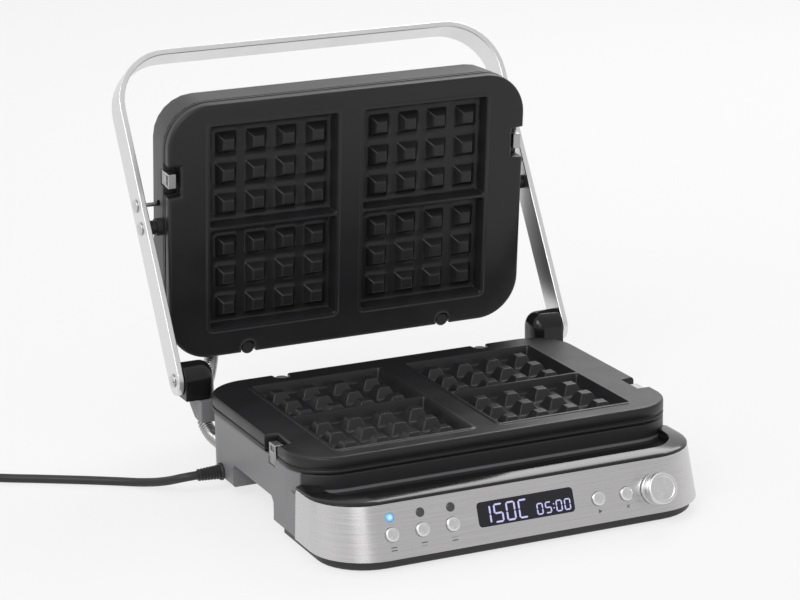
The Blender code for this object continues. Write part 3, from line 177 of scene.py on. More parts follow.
# The camera stands where the photograph was taken from, in front, to the left and above.
camera_data = bpy.data.cameras.new("photo_camera")
camera_data.lens = 127.227
camera_data.sensor_width = 36.0
camera_data.clip_end = 100.0
camera = bpy.data.objects.new("photo_camera", camera_data)
bpy.context.scene.collection.objects.link(camera)
camera.location = (-0.88157, -1.98692, 0.74332)
camera.rotation_euler = (1.2996937, 0.0213274, -0.4200002)
bpy.context.scene.camera = camera

# base housing
# The body is moulded in one piece from grey thermoplastic, with a side arch to lift it by.
# It carries the pan, the controls pocket and the sockets, and its surface is spark eroded.
# The part's drawing has its own origin, and shift is the way from there to the frame's along Y.
shift = -0.050502
split_angle = math.radians(40.0)
round_angle = math.radians(32.0)


def finish(name, color, roughness, metallic=0.0, grain=1500.0, depth=0.00003, cloud=25.0, shade=0.08,
           spread=0.06, stretch=(1.0, 1.0, 1.0), specular=0.5, source=None):
    """Surface whose colour is (1 - shade .. 1 + shade) times color over clouds of noise, whose roughness
    drifts by spread with the same clouds, and whose grain is a noise of height depth. The pattern reads
    Object coordinates times stretch, or the named attribute."""
    look = bpy.data.materials.new(name)
    look.use_nodes = True
    nodes, links = look.node_tree.nodes, look.node_tree.links
    shader = nodes["Principled BSDF"]
    shader.inputs["Metallic"].default_value = metallic
    shader.inputs["Specular IOR Level"].default_value = specular
    if source:
        spot = nodes.new("ShaderNodeAttribute")
        spot.attribute_name = source
        start = spot.outputs["Vector"]
    else:
        start = nodes.new("ShaderNodeTexCoord").outputs["Object"]
    turn = nodes.new("ShaderNodeMapping")
    turn.inputs["Scale"].default_value = stretch
    links.new(start, turn.inputs["Vector"])
    clouds = nodes.new("ShaderNodeTexNoise")
    clouds.inputs["Scale"].default_value = cloud
    clouds.inputs["Detail"].default_value = 5.0
    links.new(turn.outputs[0], clouds.inputs["Vector"])
    tone = nodes.new("ShaderNodeMix")
    tone.data_type = "RGBA"
    tone.inputs["A"].default_value = (*[c * (1 - shade) for c in color], 1.0)
    tone.inputs["B"].default_value = (*[min(1.0, c * (1 + shade)) for c in color], 1.0)
    links.new(clouds.outputs["Fac"], tone.inputs["Factor"])
    links.new(tone.outputs["Result"], shader.inputs["Base Color"])
    rough = nodes.new("ShaderNodeMapRange")
    rough.inputs["From Min"].default_value = 0.3
    rough.inputs["From Max"].default_value = 0.7
    rough.inputs["To Min"].default_value = roughness - spread
    rough.inputs["To Max"].default_value = roughness + spread
    links.new(clouds.outputs["Fac"], rough.inputs["Value"])
    links.new(rough.outputs["Result"], shader.inputs["Roughness"])
    fine = nodes.new("ShaderNodeTexNoise")
    fine.inputs["Scale"].default_value = grain
    fine.inputs["Detail"].default_value = 3.0
    links.new(turn.outputs[0], fine.inputs["Vector"])
    bump = nodes.new("ShaderNodeBump")
    bump.inputs["Strength"].default_value = 1.0
    bump.inputs["Distance"].default_value = depth
    links.new(fine.outputs["Fac"], bump.inputs["Height"])
    links.new(bump.outputs["Normal"], shader.inputs["Normal"])
    return look


def dress(name, look, edge=0.0):
    """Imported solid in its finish: doubles merged, sharp edges rounded by edge, shading weighted by area."""
    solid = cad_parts[name]
    solid.data.materials.clear()
    solid.data.materials.append(look)
    solid.data.polygons.foreach_set("use_smooth", np.ones(len(solid.data.polygons), bool))
    solid.modifiers.new("merge", "WELD").merge_threshold = 0.00001
    if edge:
        rounding = solid.modifiers.new("edge round", "BEVEL")
        rounding.width = edge
        rounding.segments = 2
        rounding.limit_method = "ANGLE"
        rounding.angle_limit = round_angle
    parted = solid.modifiers.new("crease", "EDGE_SPLIT")
    parted.split_angle = split_angle
    even = solid.modifiers.new("even shade", "WEIGHTED_NORMAL")
    even.weight = 80


def ramp(look, value, first, last):
    """0 to 1 as the value goes from first to last."""
    made = look.node_tree.nodes.new("ShaderNodeMapRange")
    made.inputs["From Min"].default_value = first
    made.inputs["From Max"].default_value = last
    look.node_tree.links.new(value, made.inputs["Value"])
    return made.outputs["Result"]


def overlay(look, share, color):
    """Second colour laid over the first as far as the share says."""
    nodes, links = look.node_tree.nodes, look.node_tree.links
    shader = nodes["Principled BSDF"]
    over = nodes.new("ShaderNodeMix")
    over.data_type = "RGBA"
    over.inputs["B"].default_value = (*color, 1.0)
    links.new(share, over.inputs["Factor"])
    links.new(shader.inputs["Base Color"].links[0].from_socket, over.inputs["A"])
    links.new(over.outputs["Result"], shader.inputs["Base Color"])


shell_grey = (0.205, 0.205, 0.212)
shell_black = (0.020, 0.020, 0.022)
grey_shell = finish("moulded_grey_shell", shell_grey, 0.46, grain=1400.0, depth=0.00006, cloud=14.0,
                    shade=0.05)
dark_shell = finish("moulded_dark_shell", shell_black, 0.42, grain=1400.0, depth=0.00005, cloud=14.0)

# The strip of body between the steel and the plate is dark. It is no piece of its own here: the
# colour changes with the place on the body, ahead of one line along Y and above one along Z.
dark_start, dark_end = -0.1380, -0.1395
dark_low, dark_high = 0.0484, 0.0490
base_look = finish("moulded_grey_body", shell_grey, 0.46, grain=1400.0, depth=0.00006, cloud=14.0,
                   shade=0.05)
spot = base_look.node_tree.nodes.new("ShaderNodeTexCoord")
axes = base_look.node_tree.nodes.new("ShaderNodeSeparateXYZ")
base_look.node_tree.links.new(spot.outputs["Object"], axes.inputs[0])
both = base_look.node_tree.nodes.new("ShaderNodeMath")
both.operation = "MULTIPLY"
ahead = ramp(base_look, axes.outputs["Y"], dark_start, dark_end)
above = ramp(base_look, axes.outputs["Z"], dark_low, dark_high)
base_look.node_tree.links.new(ahead, both.inputs[0])
base_look.node_tree.links.new(above, both.inputs[1])
overlay(base_look, both.outputs[0], (0.022, 0.022, 0.024))
dress("base_housing", base_look)
dress("bottom_cover", dark_shell, 0.0004)

# rubber feet
# Four feet moulded from soft rubber are pressed in sockets under the body and the bottom cover.
# They keep the grill from sliding and let air pass under it.
foot_rubber = finish("foot_rubber", (0.018, 0.018, 0.018), 0.72, grain=2200.0, depth=0.00004)
for corner in ("front_foot_left", "front_foot_right", "rear_foot_left", "rear_foot_right"):
    dress(corner, foot_rubber)

# reflectors and heaters
# Under each plate a pan pressed from tinned sheet throws the heat of a tubular heater at the plate.
# The heater is a steel tube bent in one loop, dark from oxide, that rests on the pan's ribs.
tin_sheet = finish("tinned_sheet", (0.62, 0.61, 0.58), 0.34, 1.0, grain=700.0, cloud=35.0, shade=0.10)
heater_tube = finish("oxidised_heater_tube", (0.055, 0.050, 0.048), 0.55, 0.6, grain=900.0, depth=0.00005,
                     cloud=60.0, shade=0.3)
for seat in ("lower", "upper"):
    dress(seat + "_reflector", tin_sheet)
    dress(seat + "_heating_element", heater_tube)

# steel wrap
# A strip of stainless steel is bent round the front, brushed along its length and pierced for
# the window, the buttons, the lamps and the dial.
steel_color = (0.60, 0.59, 0.59)
brushed_steel = finish("brushed_steel", steel_color, 0.28, 1.0, grain=2600.0, depth=0.000016, cloud=700.0,
                       shade=0.09, spread=0.05, stretch=(0.02, 0.02, 1.0))
dress("front_panel", brushed_steel, 0.00025)

# deck trim
# A tray moulded in gloss black plastic closes the gap between the steel and the plate.
# It sits inside the upper edge of the steel.
gloss_black = finish("gloss_black_plastic", (0.010, 0.010, 0.011), 0.14, grain=300.0, depth=0.00001,
                     cloud=10.0, spread=0.04, specular=0.32)
dress("deck_trim", gloss_black)

# hinge
# Two moulded grey brackets behind the body carry gloss black covers, and the arms turn on steel
# bolts outside the covers. Smaller turned screws and pins join the lid to the arms.
for side in ("left", "right"):
    dress("hinge_cover_" + side, gloss_black, 0.0004)
    dress("hinge_bracket_" + side, grey_shell)
turned_steel = finish("turned_steel", (0.60, 0.60, 0.60), 0.24, 1.0, grain=1500.0, depth=0.00001)
for part in ("pivot_bolt", "lid_pivot_screw", "guide_pin"):
    for side in ("left", "right"):
        dress(part + "_" + side, turned_steel)

# handle
# One strip of aluminium is bent in a U, its edges rolled and its face satin brushed along its length.
# Its two ends are the arms, drilled for the hinge bolts and for the lid's pivots.
satin_strip = finish("satin_aluminium", (0.76, 0.76, 0.765), 0.36, 1.0, grain=2400.0, depth=0.000012,
                     cloud=60.0, shade=0.04, stretch=(1.0, 0.03, 0.03))
dress("handle_bar", satin_strip, 0.0004)

# lid housing
# The lid shell is moulded in one piece from dark thermoplastic, with a boss and a curved slot on
# each side. It hangs on the lid's pivots between the arms and holds the upper pan and plate.
dress("lid_housing", dark_shell)

# waffle plates
# Each plate is cast aluminium under a matte nonstick coat. Two fields of studs stand in four
# pockets, a raised lip runs round each field, and catches hold the plate in its side notches.
plate_top, plate_half, plate_front, plate_back = 0.0738, 0.1587, -0.1059, 0.1124
plate_corner, plate_skirt = 0.036, 0.013
lip_width, lip_height, ridge_half = 0.0035, 0.0008, 0.0012
field_inner, field_outer, field_reach = 0.01175, 0.1235, 0.0879
pocket_depth, pocket_draft = 0.0088, 0.003
cell_pitch, cell_base, cell_top, cell_sink = 0.0262, 0.0182, 0.0090, 0.0006
columns, rows = 4, 3
notch_y, notch_half, notch_depth = -0.0440, 0.013, 0.0105
hook_x, hook_radius, block_back = 0.089, 0.0063, 0.109
plate_under = pocket_depth + 0.0024
middle_x = (field_inner + field_outer) / 2
middle_y = (ridge_half + field_reach) / 2
edge_x, edge_y = 0.1280, 0.0920
frame_inset, frame_front_inset = 0.0185, 0.0095
corner_arc = np.linspace(0.0, np.pi / 2, 17)[1:-1]


def soft_max(a, b, r):
    """Larger of two heights, rounded over where they lie within r: max + h*h/4r with h = r - |a - b|."""
    h = np.maximum(r - np.abs(a - b), 0.0)
    return np.maximum(a, b) + h * h / (4 * r)


def soft_min(a, b, r):
    """Smaller of two heights, rounded over in the same way."""
    return -soft_max(-a, -b, r)


def box_distance(x, y, cx, cy, hx, hy, r):
    """Distance to a rectangle with corner radius r, negative inside. With q the distance past the corner's
    centre on each axis: length of the positive part of q, plus the larger q if both are below 0, less r."""
    qx = np.abs(x - cx) - hx + r
    qy = np.abs(y - cy) - hy + r
    return np.hypot(np.maximum(qx, 0.0), np.maximum(qy, 0.0)) + np.minimum(np.maximum(qx, qy), 0.0) - r


def field_height(x, y):
    """Height of the plate's face: lips over the flat, pocket walls that fall with the draft, and studs
    whose sides fall from a small top to a wide base. The forms meet through soft_max and soft_min."""
    side = np.where(x < 0, -1.0, 1.0)
    end = np.where(y < 0, -1.0, 1.0)
    half = (field_outer - field_inner) / 2
    outside = box_distance(x, y, side * middle_x, 0.0, half, field_reach, 0.003)
    lip = lip_height * np.clip((lip_width - outside) / 0.0010, 0.0, 1.0)
    deep = (field_reach - ridge_half) / 2
    inside = -box_distance(x, y, side * middle_x, end * middle_y, half, deep, 0.0025)
    wall = lip_height - inside * (pocket_depth + lip_height) / pocket_draft
    face = soft_min(lip, soft_max(wall, np.full_like(x, -pocket_depth), 0.0025), 0.0009)
    i = np.clip(np.round((x - side * middle_x) / cell_pitch + (columns - 1) / 2), 0, columns - 1)
    j = np.clip(np.round((y - end * middle_y) / cell_pitch + (rows - 1) / 2), 0, rows - 1)
    cx = side * middle_x + (i - (columns - 1) / 2) * cell_pitch
    cy = end * middle_y + (j - (rows - 1) / 2) * cell_pitch
    away = soft_max(np.abs(x - cx), np.abs(y - cy), 0.0006) - cell_top / 2
    fall = (pocket_depth - cell_sink) / ((cell_base - cell_top) / 2)
    stud = soft_min(np.full_like(x, -cell_sink), -cell_sink - away * fall, 0.0009)
    return soft_max(face, stud, 0.0011)


def side_lines(centres, borders, limit, extra=()):
    """Grid lines from -limit to limit, close together where a stud or a pocket wall bends."""
    stud = np.array([0.0, 0.0022, 0.0036, 0.0042, 0.0047, 0.0053, 0.0061, 0.0069, 0.0076, 0.0082, 0.0088,
                     0.0096])
    wall = np.array([-0.0046, -0.0040, -0.0035, -0.0030, -0.0025, -0.0012, -0.0006, -0.0002, 0.0003, 0.0008,
                     0.0016, 0.0022, 0.0027, 0.0032, 0.0040])
    lines = [np.array([-limit, limit]), np.array(extra)]
    for c in centres:
        lines += [c + stud, c - stud[1:]]
    for border, inward in borders:
        lines.append(border + inward * wall)
    merged = np.unique(np.round(np.concatenate(lines), 6))
    merged = merged[np.abs(merged) <= limit]
    keep = np.concatenate(([True], np.diff(merged) > 0.00012))
    keep[-1] = True
    return merged[keep]


def steps(value, centre, half, soft):
    """1 inside centre +- half and 0 outside, through a ramp of width 2 soft."""
    return np.clip((half + soft - np.abs(value - centre)) / (2 * soft), 0.0, 1.0)


def plain_frame(u, v):
    """Oval cornered frame inside the notches and recesses, its points level with those of the outline."""
    flat_x = plate_half - plate_corner
    y_low, y_high = plate_front + plate_corner, plate_back - plate_corner
    xs = u * flat_x / edge_x
    ys = y_low + (v + edge_y) / (2 * edge_y) * (y_high - y_low)
    rx = back = plate_corner - frame_inset
    front = plate_corner - frame_front_inset
    corners = ((flat_x, y_high, back, 0.0), (-flat_x, y_high, back, 0.5),
               (-flat_x, y_low, front, 1.0), (flat_x, y_low, front, 1.5))
    quarter = []
    for cx, cy, ry, turn in corners:
        way = corner_arc + turn * np.pi
        quarter.append(np.stack((cx + rx * np.cos(way), cy + ry * np.sin(way)), 1))
    right = np.stack((np.full_like(ys, flat_x + rx), ys), 1)
    top = np.stack((xs, np.full_like(xs, y_high + back)), 1)
    left = np.stack((np.full_like(ys, -flat_x - rx), ys), 1)
    bottom = np.stack((xs, np.full_like(xs, y_low - front)), 1)
    return np.concatenate((right, quarter[0], top[::-1], quarter[1],
                           left[::-1], quarter[2], bottom, quarter[3]))


def plate_edge(u, v, inset):
    """Outline of the plate drawn in by inset, for u along X on the front and back and v along Y on the
    sides: straight sides with two notches and two hook recesses, and quarter circles between them."""
    flat_x = plate_half - plate_corner
    y_low, y_high = plate_front + plate_corner, plate_back - plate_corner
    xs = u * flat_x / edge_x
    ys = y_low + (v + edge_y) / (2 * edge_y) * (y_high - y_low)
    notch = notch_depth * steps(ys, notch_y, notch_half + inset, 0.0003)
    r = hook_radius + inset
    near = np.abs(xs) - hook_x
    depth = plate_back - block_back + np.sqrt(np.maximum(r * r - near * near, 0.0))
    hook = np.where(np.abs(near) < r, depth, 0.0)
    quarter = []
    corners = ((flat_x, y_high, 0.0), (-flat_x, y_high, 0.5), (-flat_x, y_low, 1.0), (flat_x, y_low, 1.5))
    radius = plate_corner - inset
    for cx, cy, turn in corners:
        way = corner_arc + turn * np.pi
        quarter.append(np.stack((cx + radius * np.cos(way), cy + radius * np.sin(way)), 1))
    right = np.stack((plate_half - inset - notch, ys), 1)
    back = np.stack((xs, plate_back - inset - hook), 1)
    left = np.stack((-plate_half + inset + notch, ys), 1)
    front = np.stack((xs, np.full_like(xs, plate_front + inset)), 1)
    return np.concatenate((right, quarter[0], back[::-1], quarter[1],
                           left[::-1], quarter[2], front, quarter[3]))


def waffle_mesh():
    """Points and faces of one plate in its seat frame: the face as a grid of height over plan, and a band
    carried round the outline from the grid's border down the rounded edge, the groove and the skirt."""
    studs_x = [s * middle_x + (i - 1.5) * cell_pitch for s in (-1, 1) for i in range(columns)]
    studs_y = [e * middle_y + (j - 1.0) * cell_pitch for e in (-1, 1) for j in range(rows)]
    x_back = edge_x / (plate_half - plate_corner)
    hook = np.concatenate((np.linspace(-0.0092, -0.0058, 9), np.linspace(-0.0045, 0.0045, 5),
                           np.linspace(0.0058, 0.0092, 9)))
    y_span = (plate_back - plate_front - 2 * plate_corner) / (2 * edge_y)
    y_start = plate_front + plate_corner + edge_y * y_span
    edges = np.concatenate([notch_y + s * (notch_half + np.linspace(-0.0004, 0.0034, 10)) for s in (-1, 1)])
    borders_x = [(s * b, s * w) for s in (-1, 1) for b, w in ((field_inner, 1), (field_outer, -1))]
    borders_y = [(s * b, s * w) for s in (-1, 1) for b, w in ((ridge_half, 1), (field_reach, -1))]
    hooks = [s * (hook_x + h) * x_back for s in (-1, 1) for h in hook]
    lines_x = side_lines(studs_x, borders_x, edge_x, hooks)
    lines_y = side_lines(studs_y, borders_y, edge_y, (edges - y_start) / y_span)
    x, y = np.meshgrid(lines_x, lines_y)
    z = field_height(x, y)
    z[[0, -1], :] = 0.0
    z[:, [0, -1]] = 0.0
    ny, nx = x.shape
    points = [np.stack((x, y, z), 2).reshape(-1, 3)]
    index = np.arange(nx * ny).reshape(ny, nx)
    faces = [np.stack((index[:-1, :-1], index[:-1, 1:], index[1:, 1:], index[1:, :-1]), 2).reshape(-1, 4)]
    fan = np.zeros(len(corner_arc), int)
    border = np.concatenate((index[:, -1], fan + index[-1, -1], index[-1, ::-1], fan + index[-1, 0],
                             index[::-1, 0], fan + index[0, 0], index[0, :], fan + index[0, -1]))
    profile = ((0.0036, 0.0), (0.0023, 0.0), (0.0014, -0.0001), (0.0007, -0.0005), (0.0002, -0.0012),
               (0.0, -0.0022), (0.0, -0.0080), (0.0003, -0.0085), (0.0011, -0.0088), (0.0011, -0.0098),
               (0.0003, -0.0101), (0.0, -0.0106), (0.0, -plate_skirt + 0.0006), (0.0006, -plate_skirt),
               (0.008, -plate_skirt), (0.008, -plate_under))
    count = len(border)
    base = nx * ny
    ring = border
    for inset, height in ((None, 0.0), *profile):
        edge = plain_frame(lines_x, lines_y) if inset is None else plate_edge(lines_x, lines_y, inset)
        points.append(np.column_stack((edge, np.full(count, height))))
        outer = base + np.arange(count)
        faces.append(np.stack((ring, outer, np.roll(outer, -1), np.roll(ring, -1)), 1))
        base += count
        ring = outer
    return np.concatenate(points), np.concatenate(faces), ring[::-1]


def piece(name, points, faces, look, place=None, cap=None, angle=35.0):
    """Object at the origin from points and faces, its place in its mesh; doubles merge, so fans close."""
    if place is not None:
        points = points @ place[:3, :3].T + place[:3, 3]
    made_faces = faces.tolist()
    if cap is not None:
        made_faces.append(cap.tolist())
    mesh = bpy.data.meshes.new(name)
    mesh.from_pydata(points.tolist(), [], made_faces)
    mesh.materials.append(look)
    merged = bmesh.new()
    merged.from_mesh(mesh)
    bmesh.ops.remove_doubles(merged, verts=merged.verts, dist=0.000002)
    merged.to_mesh(mesh)
    merged.free()
    mesh.polygons.foreach_set("use_smooth", np.ones(len(mesh.polygons), bool))
    mesh.set_sharp_from_angle(angle=math.radians(angle))
    made = bpy.data.objects.new(name, mesh)
    bpy.context.scene.collection.objects.link(made)
    return made


def turn_x(angle):
    """4 by 4 turn about X."""
    c, s = math.cos(angle), math.sin(angle)
    return np.array([[1, 0, 0, 0], [0, c, -s, 0], [0, s, c, 0], [0, 0, 0, 1.0]])


def move(x, y, z):
    """4 by 4 move along the three axes."""
    made = np.eye(4)
    made[:3, 3] = (x, y, z)
    return made


open_angle, lid_open = math.radians(60.0), math.radians(96.28)
pivot_y, pivot_z, lid_behind, closed_gap = 0.1270, 0.0763, 0.022, 0.0020
lid_arm = math.hypot(pivot_y, lid_behind + closed_gap + plate_top - pivot_z)
hinge_place = move(0.0, shift + pivot_y, pivot_z) @ turn_x(open_angle)
lid_place = hinge_place @ move(0.0, lid_arm, 0.0) @ turn_x(lid_open - open_angle)
half_turn = np.diag([-1.0, -1.0, 1.0, 1.0])
seats = {"lower_plate": move(0.0, shift, plate_top),
         "upper_plate": lid_place @ move(0.0, 0.0, lid_behind) @ half_turn}
nonstick = finish("nonstick_coat", (0.0145, 0.0145, 0.0160), 0.38, grain=900.0, depth=0.00005, cloud=30.0,
                  shade=0.10, spread=0.05, specular=0.36)
plate_points, plate_faces, plate_cap = waffle_mesh()
for name, place in seats.items():
    plate = piece(name + "_casting", plate_points, plate_faces, nonstick, place, plate_cap, 50.0)
    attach(plate, name)
    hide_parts(name)

# plate catches
# A sliding catch of plated steel stands in each side notch and holds the plate by its skirt.
# It rides in a slot of the housing and slides out to let the plate go.
plated = finish("bright_plating", (0.40, 0.40, 0.40), 0.34, 1.0, grain=900.0, depth=0.00001)
for seat in ("lower", "upper"):
    for side in ("left", "right"):
        dress(seat + "_clip_" + side, plated, 0.0003)

# controls
# Spun metal buttons and a dial, moulded lamp lenses and a glass window sit in the steel wrap.
# The readout shines from behind the glass, and a printed sign under each button says what it does.
button_down, knob_x, knob_radius, knob_height = 0.0228, 0.1077, 0.0123, 0.0150
button_radius, button_proud, board_top = 0.0054, 0.0020, -0.0124
lens_radius, lens_down = 0.0032, 0.0100
mode_x, start_x, cancel_x = (-0.110, -0.0855, -0.061), 0.0597, 0.0836
panel_place = move(0.0, -0.1496 + shift, 0.0485) @ turn_x(math.pi / 2 - math.atan2(0.0137, 0.0390))


def turned(profile, count=72):
    """Profile of (radius, height) pairs swept about Z: (r cos t, r sin t, h) for t over a full turn."""
    r, h = np.array(profile).T
    t = np.arange(count) * 2 * np.pi / count
    points = np.stack((np.outer(r, np.cos(t)), np.outer(r, np.sin(t)), np.outer(h, np.ones(count))), 2)
    index = np.arange(len(r) * count).reshape(len(r), count)
    after = np.roll(index, -1, 1)
    faces = np.stack((index[:-1], after[:-1], after[1:], index[1:]), 2)
    return points.reshape(-1, 3), faces.reshape(-1, 4)


def lathe_marks(made, place):
    """Attribute "lathe" = (cos t, sin t, 1000 r), with t the angle and r the distance from the turning
    axis, and attribute "groove" = (-sin t, cos t, 0) turned with the piece, the way the tool marks run."""
    spots = np.empty(len(made.data.vertices) * 3)
    made.data.vertices.foreach_get("co", spots)
    local = (spots.reshape(-1, 3) - place[:3, 3]) @ place[:3, :3]
    r = np.hypot(local[:, 0], local[:, 1])
    t = np.arctan2(local[:, 1], local[:, 0])
    marks = np.stack((np.cos(t), np.sin(t), 1000 * r), 1)
    made.data.attributes.new("lathe", "FLOAT_VECTOR", "POINT").data.foreach_set("vector", marks.ravel())
    grooves = np.stack((-np.sin(t), np.cos(t), 0 * t), 1) @ place[:3, :3].T
    made.data.attributes.new("groove", "FLOAT_VECTOR", "POINT").data.foreach_set("vector", grooves.ravel())


def turned_piece(name, profile, look, place, body, node, count=72):
    """Turned piece on a body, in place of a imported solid."""
    made = piece(name, *turned(profile, count), look, place, None, 30.0)
    lathe_marks(made, place)
    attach(made, body)
    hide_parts(node)


spun_metal = finish("spun_metal", (0.70, 0.70, 0.70), 0.27, 1.0, grain=4.0, depth=0.000009, cloud=0.9,
                    shade=0.05, spread=0.03, stretch=(0.12, 0.12, 1.0), source="lathe")
spun_nodes = spun_metal.node_tree.nodes
groove = spun_nodes.new("ShaderNodeAttribute")
groove.attribute_name = "groove"
spun_metal.node_tree.links.new(groove.outputs["Vector"], spun_nodes["Principled BSDF"].inputs["Tangent"])
spun_nodes["Principled BSDF"].inputs["Anisotropic"].default_value = 0.85
stem, flange, face = 0.0018, button_radius + 0.0010, button_proud
button_profile = ((0.0, board_top + 0.0035), (stem, board_top + 0.0035), (stem, -0.0026), (flange, -0.0026),
                  (flange, -0.0014), (button_radius, -0.0012), (button_radius, face - 0.0007),
                  (button_radius - 0.0002, face - 0.0003), (button_radius - 0.0006, face),
                  (0.0036, face + 0.00020), (0.0024, face + 0.00032), (0.0012, face + 0.00039),
                  (0.0, face + 0.0004))
button_places = (("both_plates_button", mode_x[0]), ("upper_plate_button", mode_x[1]),
                 ("lower_plate_button", mode_x[2]), ("start_button", start_x), ("cancel_button", cancel_x))
for name, x in button_places:
    place = panel_place @ move(x, -button_down, 0.0)
    turned_piece(name + "_cap", button_profile, spun_metal, place, name, name)
bore, side, top = 0.0033, knob_radius, knob_height
dish = knob_height - 0.0004
knob_profile = ((0.0, 0.0112), (bore, 0.0112), (bore, 0.0005), (side - 0.0008, 0.0005),
                (side - 0.0002, 0.0007), (side, 0.0013), (side, 0.0040), (side - 0.0003, 0.0043),
                (side - 0.0003, 0.0049),
                (side, 0.0052), (side - 0.0002, top - 0.0014), (side - 0.0006, top - 0.0005),
                (side - 0.0014, top), (side - 0.0028, top), (side - 0.0034, top - 0.0005),
                (0.0080, dish - 0.00005), (0.0060, dish), (0.0040, dish), (0.0020, dish), (0.0, dish))
dial_place = panel_place @ move(knob_x, -button_down, 0.0)
turned_piece("dial", knob_profile, spun_metal, dial_place, "knob", "knob", count=96)
dress("knob_encoder", tin_sheet)
board_green = finish("circuit_board", (0.012, 0.09, 0.03), 0.45)
dress("control_board", board_green)
dress("display_module", dark_shell)
window = finish("display_glass", (0.0045, 0.0050, 0.0095), 0.07, grain=200.0, depth=0.000005, spread=0.02)
dress("display_window", window)

lens_dark = finish("lamp_lens_dark", (0.055, 0.055, 0.060), 0.30, grain=40.0, depth=0.00001, source="lathe")
lens_lit = finish("lamp_lens_lit", (0.10, 0.35, 0.85), 0.25, grain=40.0, depth=0.00001, source="lathe")
lit_nodes, lit_links = lens_lit.node_tree.nodes, lens_lit.node_tree.links
lit_spot = lit_nodes.new("ShaderNodeAttribute")
lit_spot.attribute_name = "lathe"
lit_axes = lit_nodes.new("ShaderNodeSeparateXYZ")
lit_links.new(lit_spot.outputs["Vector"], lit_axes.inputs[0])
lit_tone = lit_nodes.new("ShaderNodeMix")
lit_tone.data_type = "RGBA"
lit_tone.inputs["A"].default_value = (0.80, 0.93, 1.0, 1.0)
lit_tone.inputs["B"].default_value = (0.03, 0.25, 0.80, 1.0)
lit_links.new(ramp(lens_lit, lit_axes.outputs["Z"], 0.7, 2.6), lit_tone.inputs["Factor"])
lit_shader = lit_nodes["Principled BSDF"]
lit_links.new(lit_tone.outputs["Result"], lit_shader.inputs["Emission Color"])
lit_shader.inputs["Emission Strength"].default_value = 0.75
stem, lens_root = lens_radius - 0.0006, board_top + 0.001
lens_profile = ((0.0, lens_root), (stem, lens_root), (stem, -0.0020), (lens_radius, -0.0018),
                (lens_radius, 0.0001), (lens_radius - 0.0003, 0.0004), (lens_radius - 0.0009, 0.0007),
                (lens_radius - 0.0019, 0.0009), (0.0, 0.0010))
for number, x, look in zip("123", mode_x, (lens_lit, lens_dark, lens_dark)):
    place = panel_place @ move(x, -lens_down, 0.0)
    turned_piece("lens_" + number, lens_profile, look, place, "base", "indicator_lens_" + number, count=48)


def flat_marks(name, outlines, look, low, high):
    """Thin prisms on the panel: each outline of points (x, y) at height low and again at height high, with
    a strip of quads between the two rings and a face over each."""
    points, faces, base = [], [], 0
    for outline in outlines:
        count = len(outline)
        ring = base + np.arange(count)
        after = np.roll(ring, -1)
        flat = np.array(outline)
        points += [np.column_stack((flat, np.full(count, height))) for height in (low, high)]
        faces += np.stack((ring, after, after + count, ring + count), 1).tolist()
        faces += [ring[::-1].tolist(), (ring + count).tolist()]
        base += 2 * count
    placed = np.concatenate(points) @ panel_place[:3, :3].T + panel_place[:3, 3]
    mesh = bpy.data.meshes.new(name)
    mesh.from_pydata(placed.tolist(), [], faces)
    mesh.materials.append(look)
    solid = bpy.data.objects.new(name, mesh)
    bpy.context.scene.collection.objects.link(solid)
    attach(solid, "base")


def bar(x0, y0, x1, y1, wide):
    """Pointed bar between two points, as on a seven bar digit."""
    along = np.subtract((x1, y1), (x0, y0))
    along = along / np.hypot(*along)
    across = np.array((-along[1], along[0])) * wide / 2
    a, b = np.array((x0, y0)), np.array((x1, y1))
    tip = along * wide / 2
    return [a, a + tip - across, b - tip - across, b, b - tip + across, a + tip + across]


def digit(sign, left, base, wide, tall, thick):
    """Bars of one digit; the letters name the bars from the top clockwise, then the middle."""
    lit = {"0": "abcdef", "1": "bc", "5": "acdfg", "C": "adef"}[sign]
    gap, half, right, top = thick * 0.12, base + tall / 2, left + wide, base + tall
    ends = {"a": (left, top, right, top), "b": (right, top, right, half), "c": (right, half, right, base),
            "d": (left, base, right, base), "e": (left, base, left, half), "f": (left, half, left, top),
            "g": (left, half, right, half)}
    made = []
    for letter in lit:
        x0, y0, x1, y1 = ends[letter]
        step = np.subtract((x1, y1), (x0, y0))
        step = step / np.hypot(*step) * gap
        made.append(bar(x0 + step[0], y0 + step[1], x1 - step[0], y1 - step[1], thick))
    return made


readout = finish("readout_light", (0.02, 0.02, 0.03), 0.4)
readout_shader = readout.node_tree.nodes["Principled BSDF"]
readout_shader.inputs["Emission Color"].default_value = (0.60, 0.60, 0.98, 1.0)
readout_shader.inputs["Emission Strength"].default_value = 0.95
signs = []
for i, sign in enumerate("150C"):
    signs += digit(sign, -0.0365 + 0.0101 * i, -0.0268, 0.0064, 0.0130, 0.0013)
for sign, left in (("0", 0.0085), ("5", 0.0155), ("0", 0.0245), ("0", 0.0315)):
    signs += digit(sign, left, -0.0266, 0.0043, 0.0078, 0.0010)
for height in (-0.0242, -0.0212):
    signs.append([(0.0218, height), (0.0227, height), (0.0227, height + 0.0009), (0.0218, height + 0.0009)])
flat_marks("readout", signs, readout, -0.00012, 0.00004)

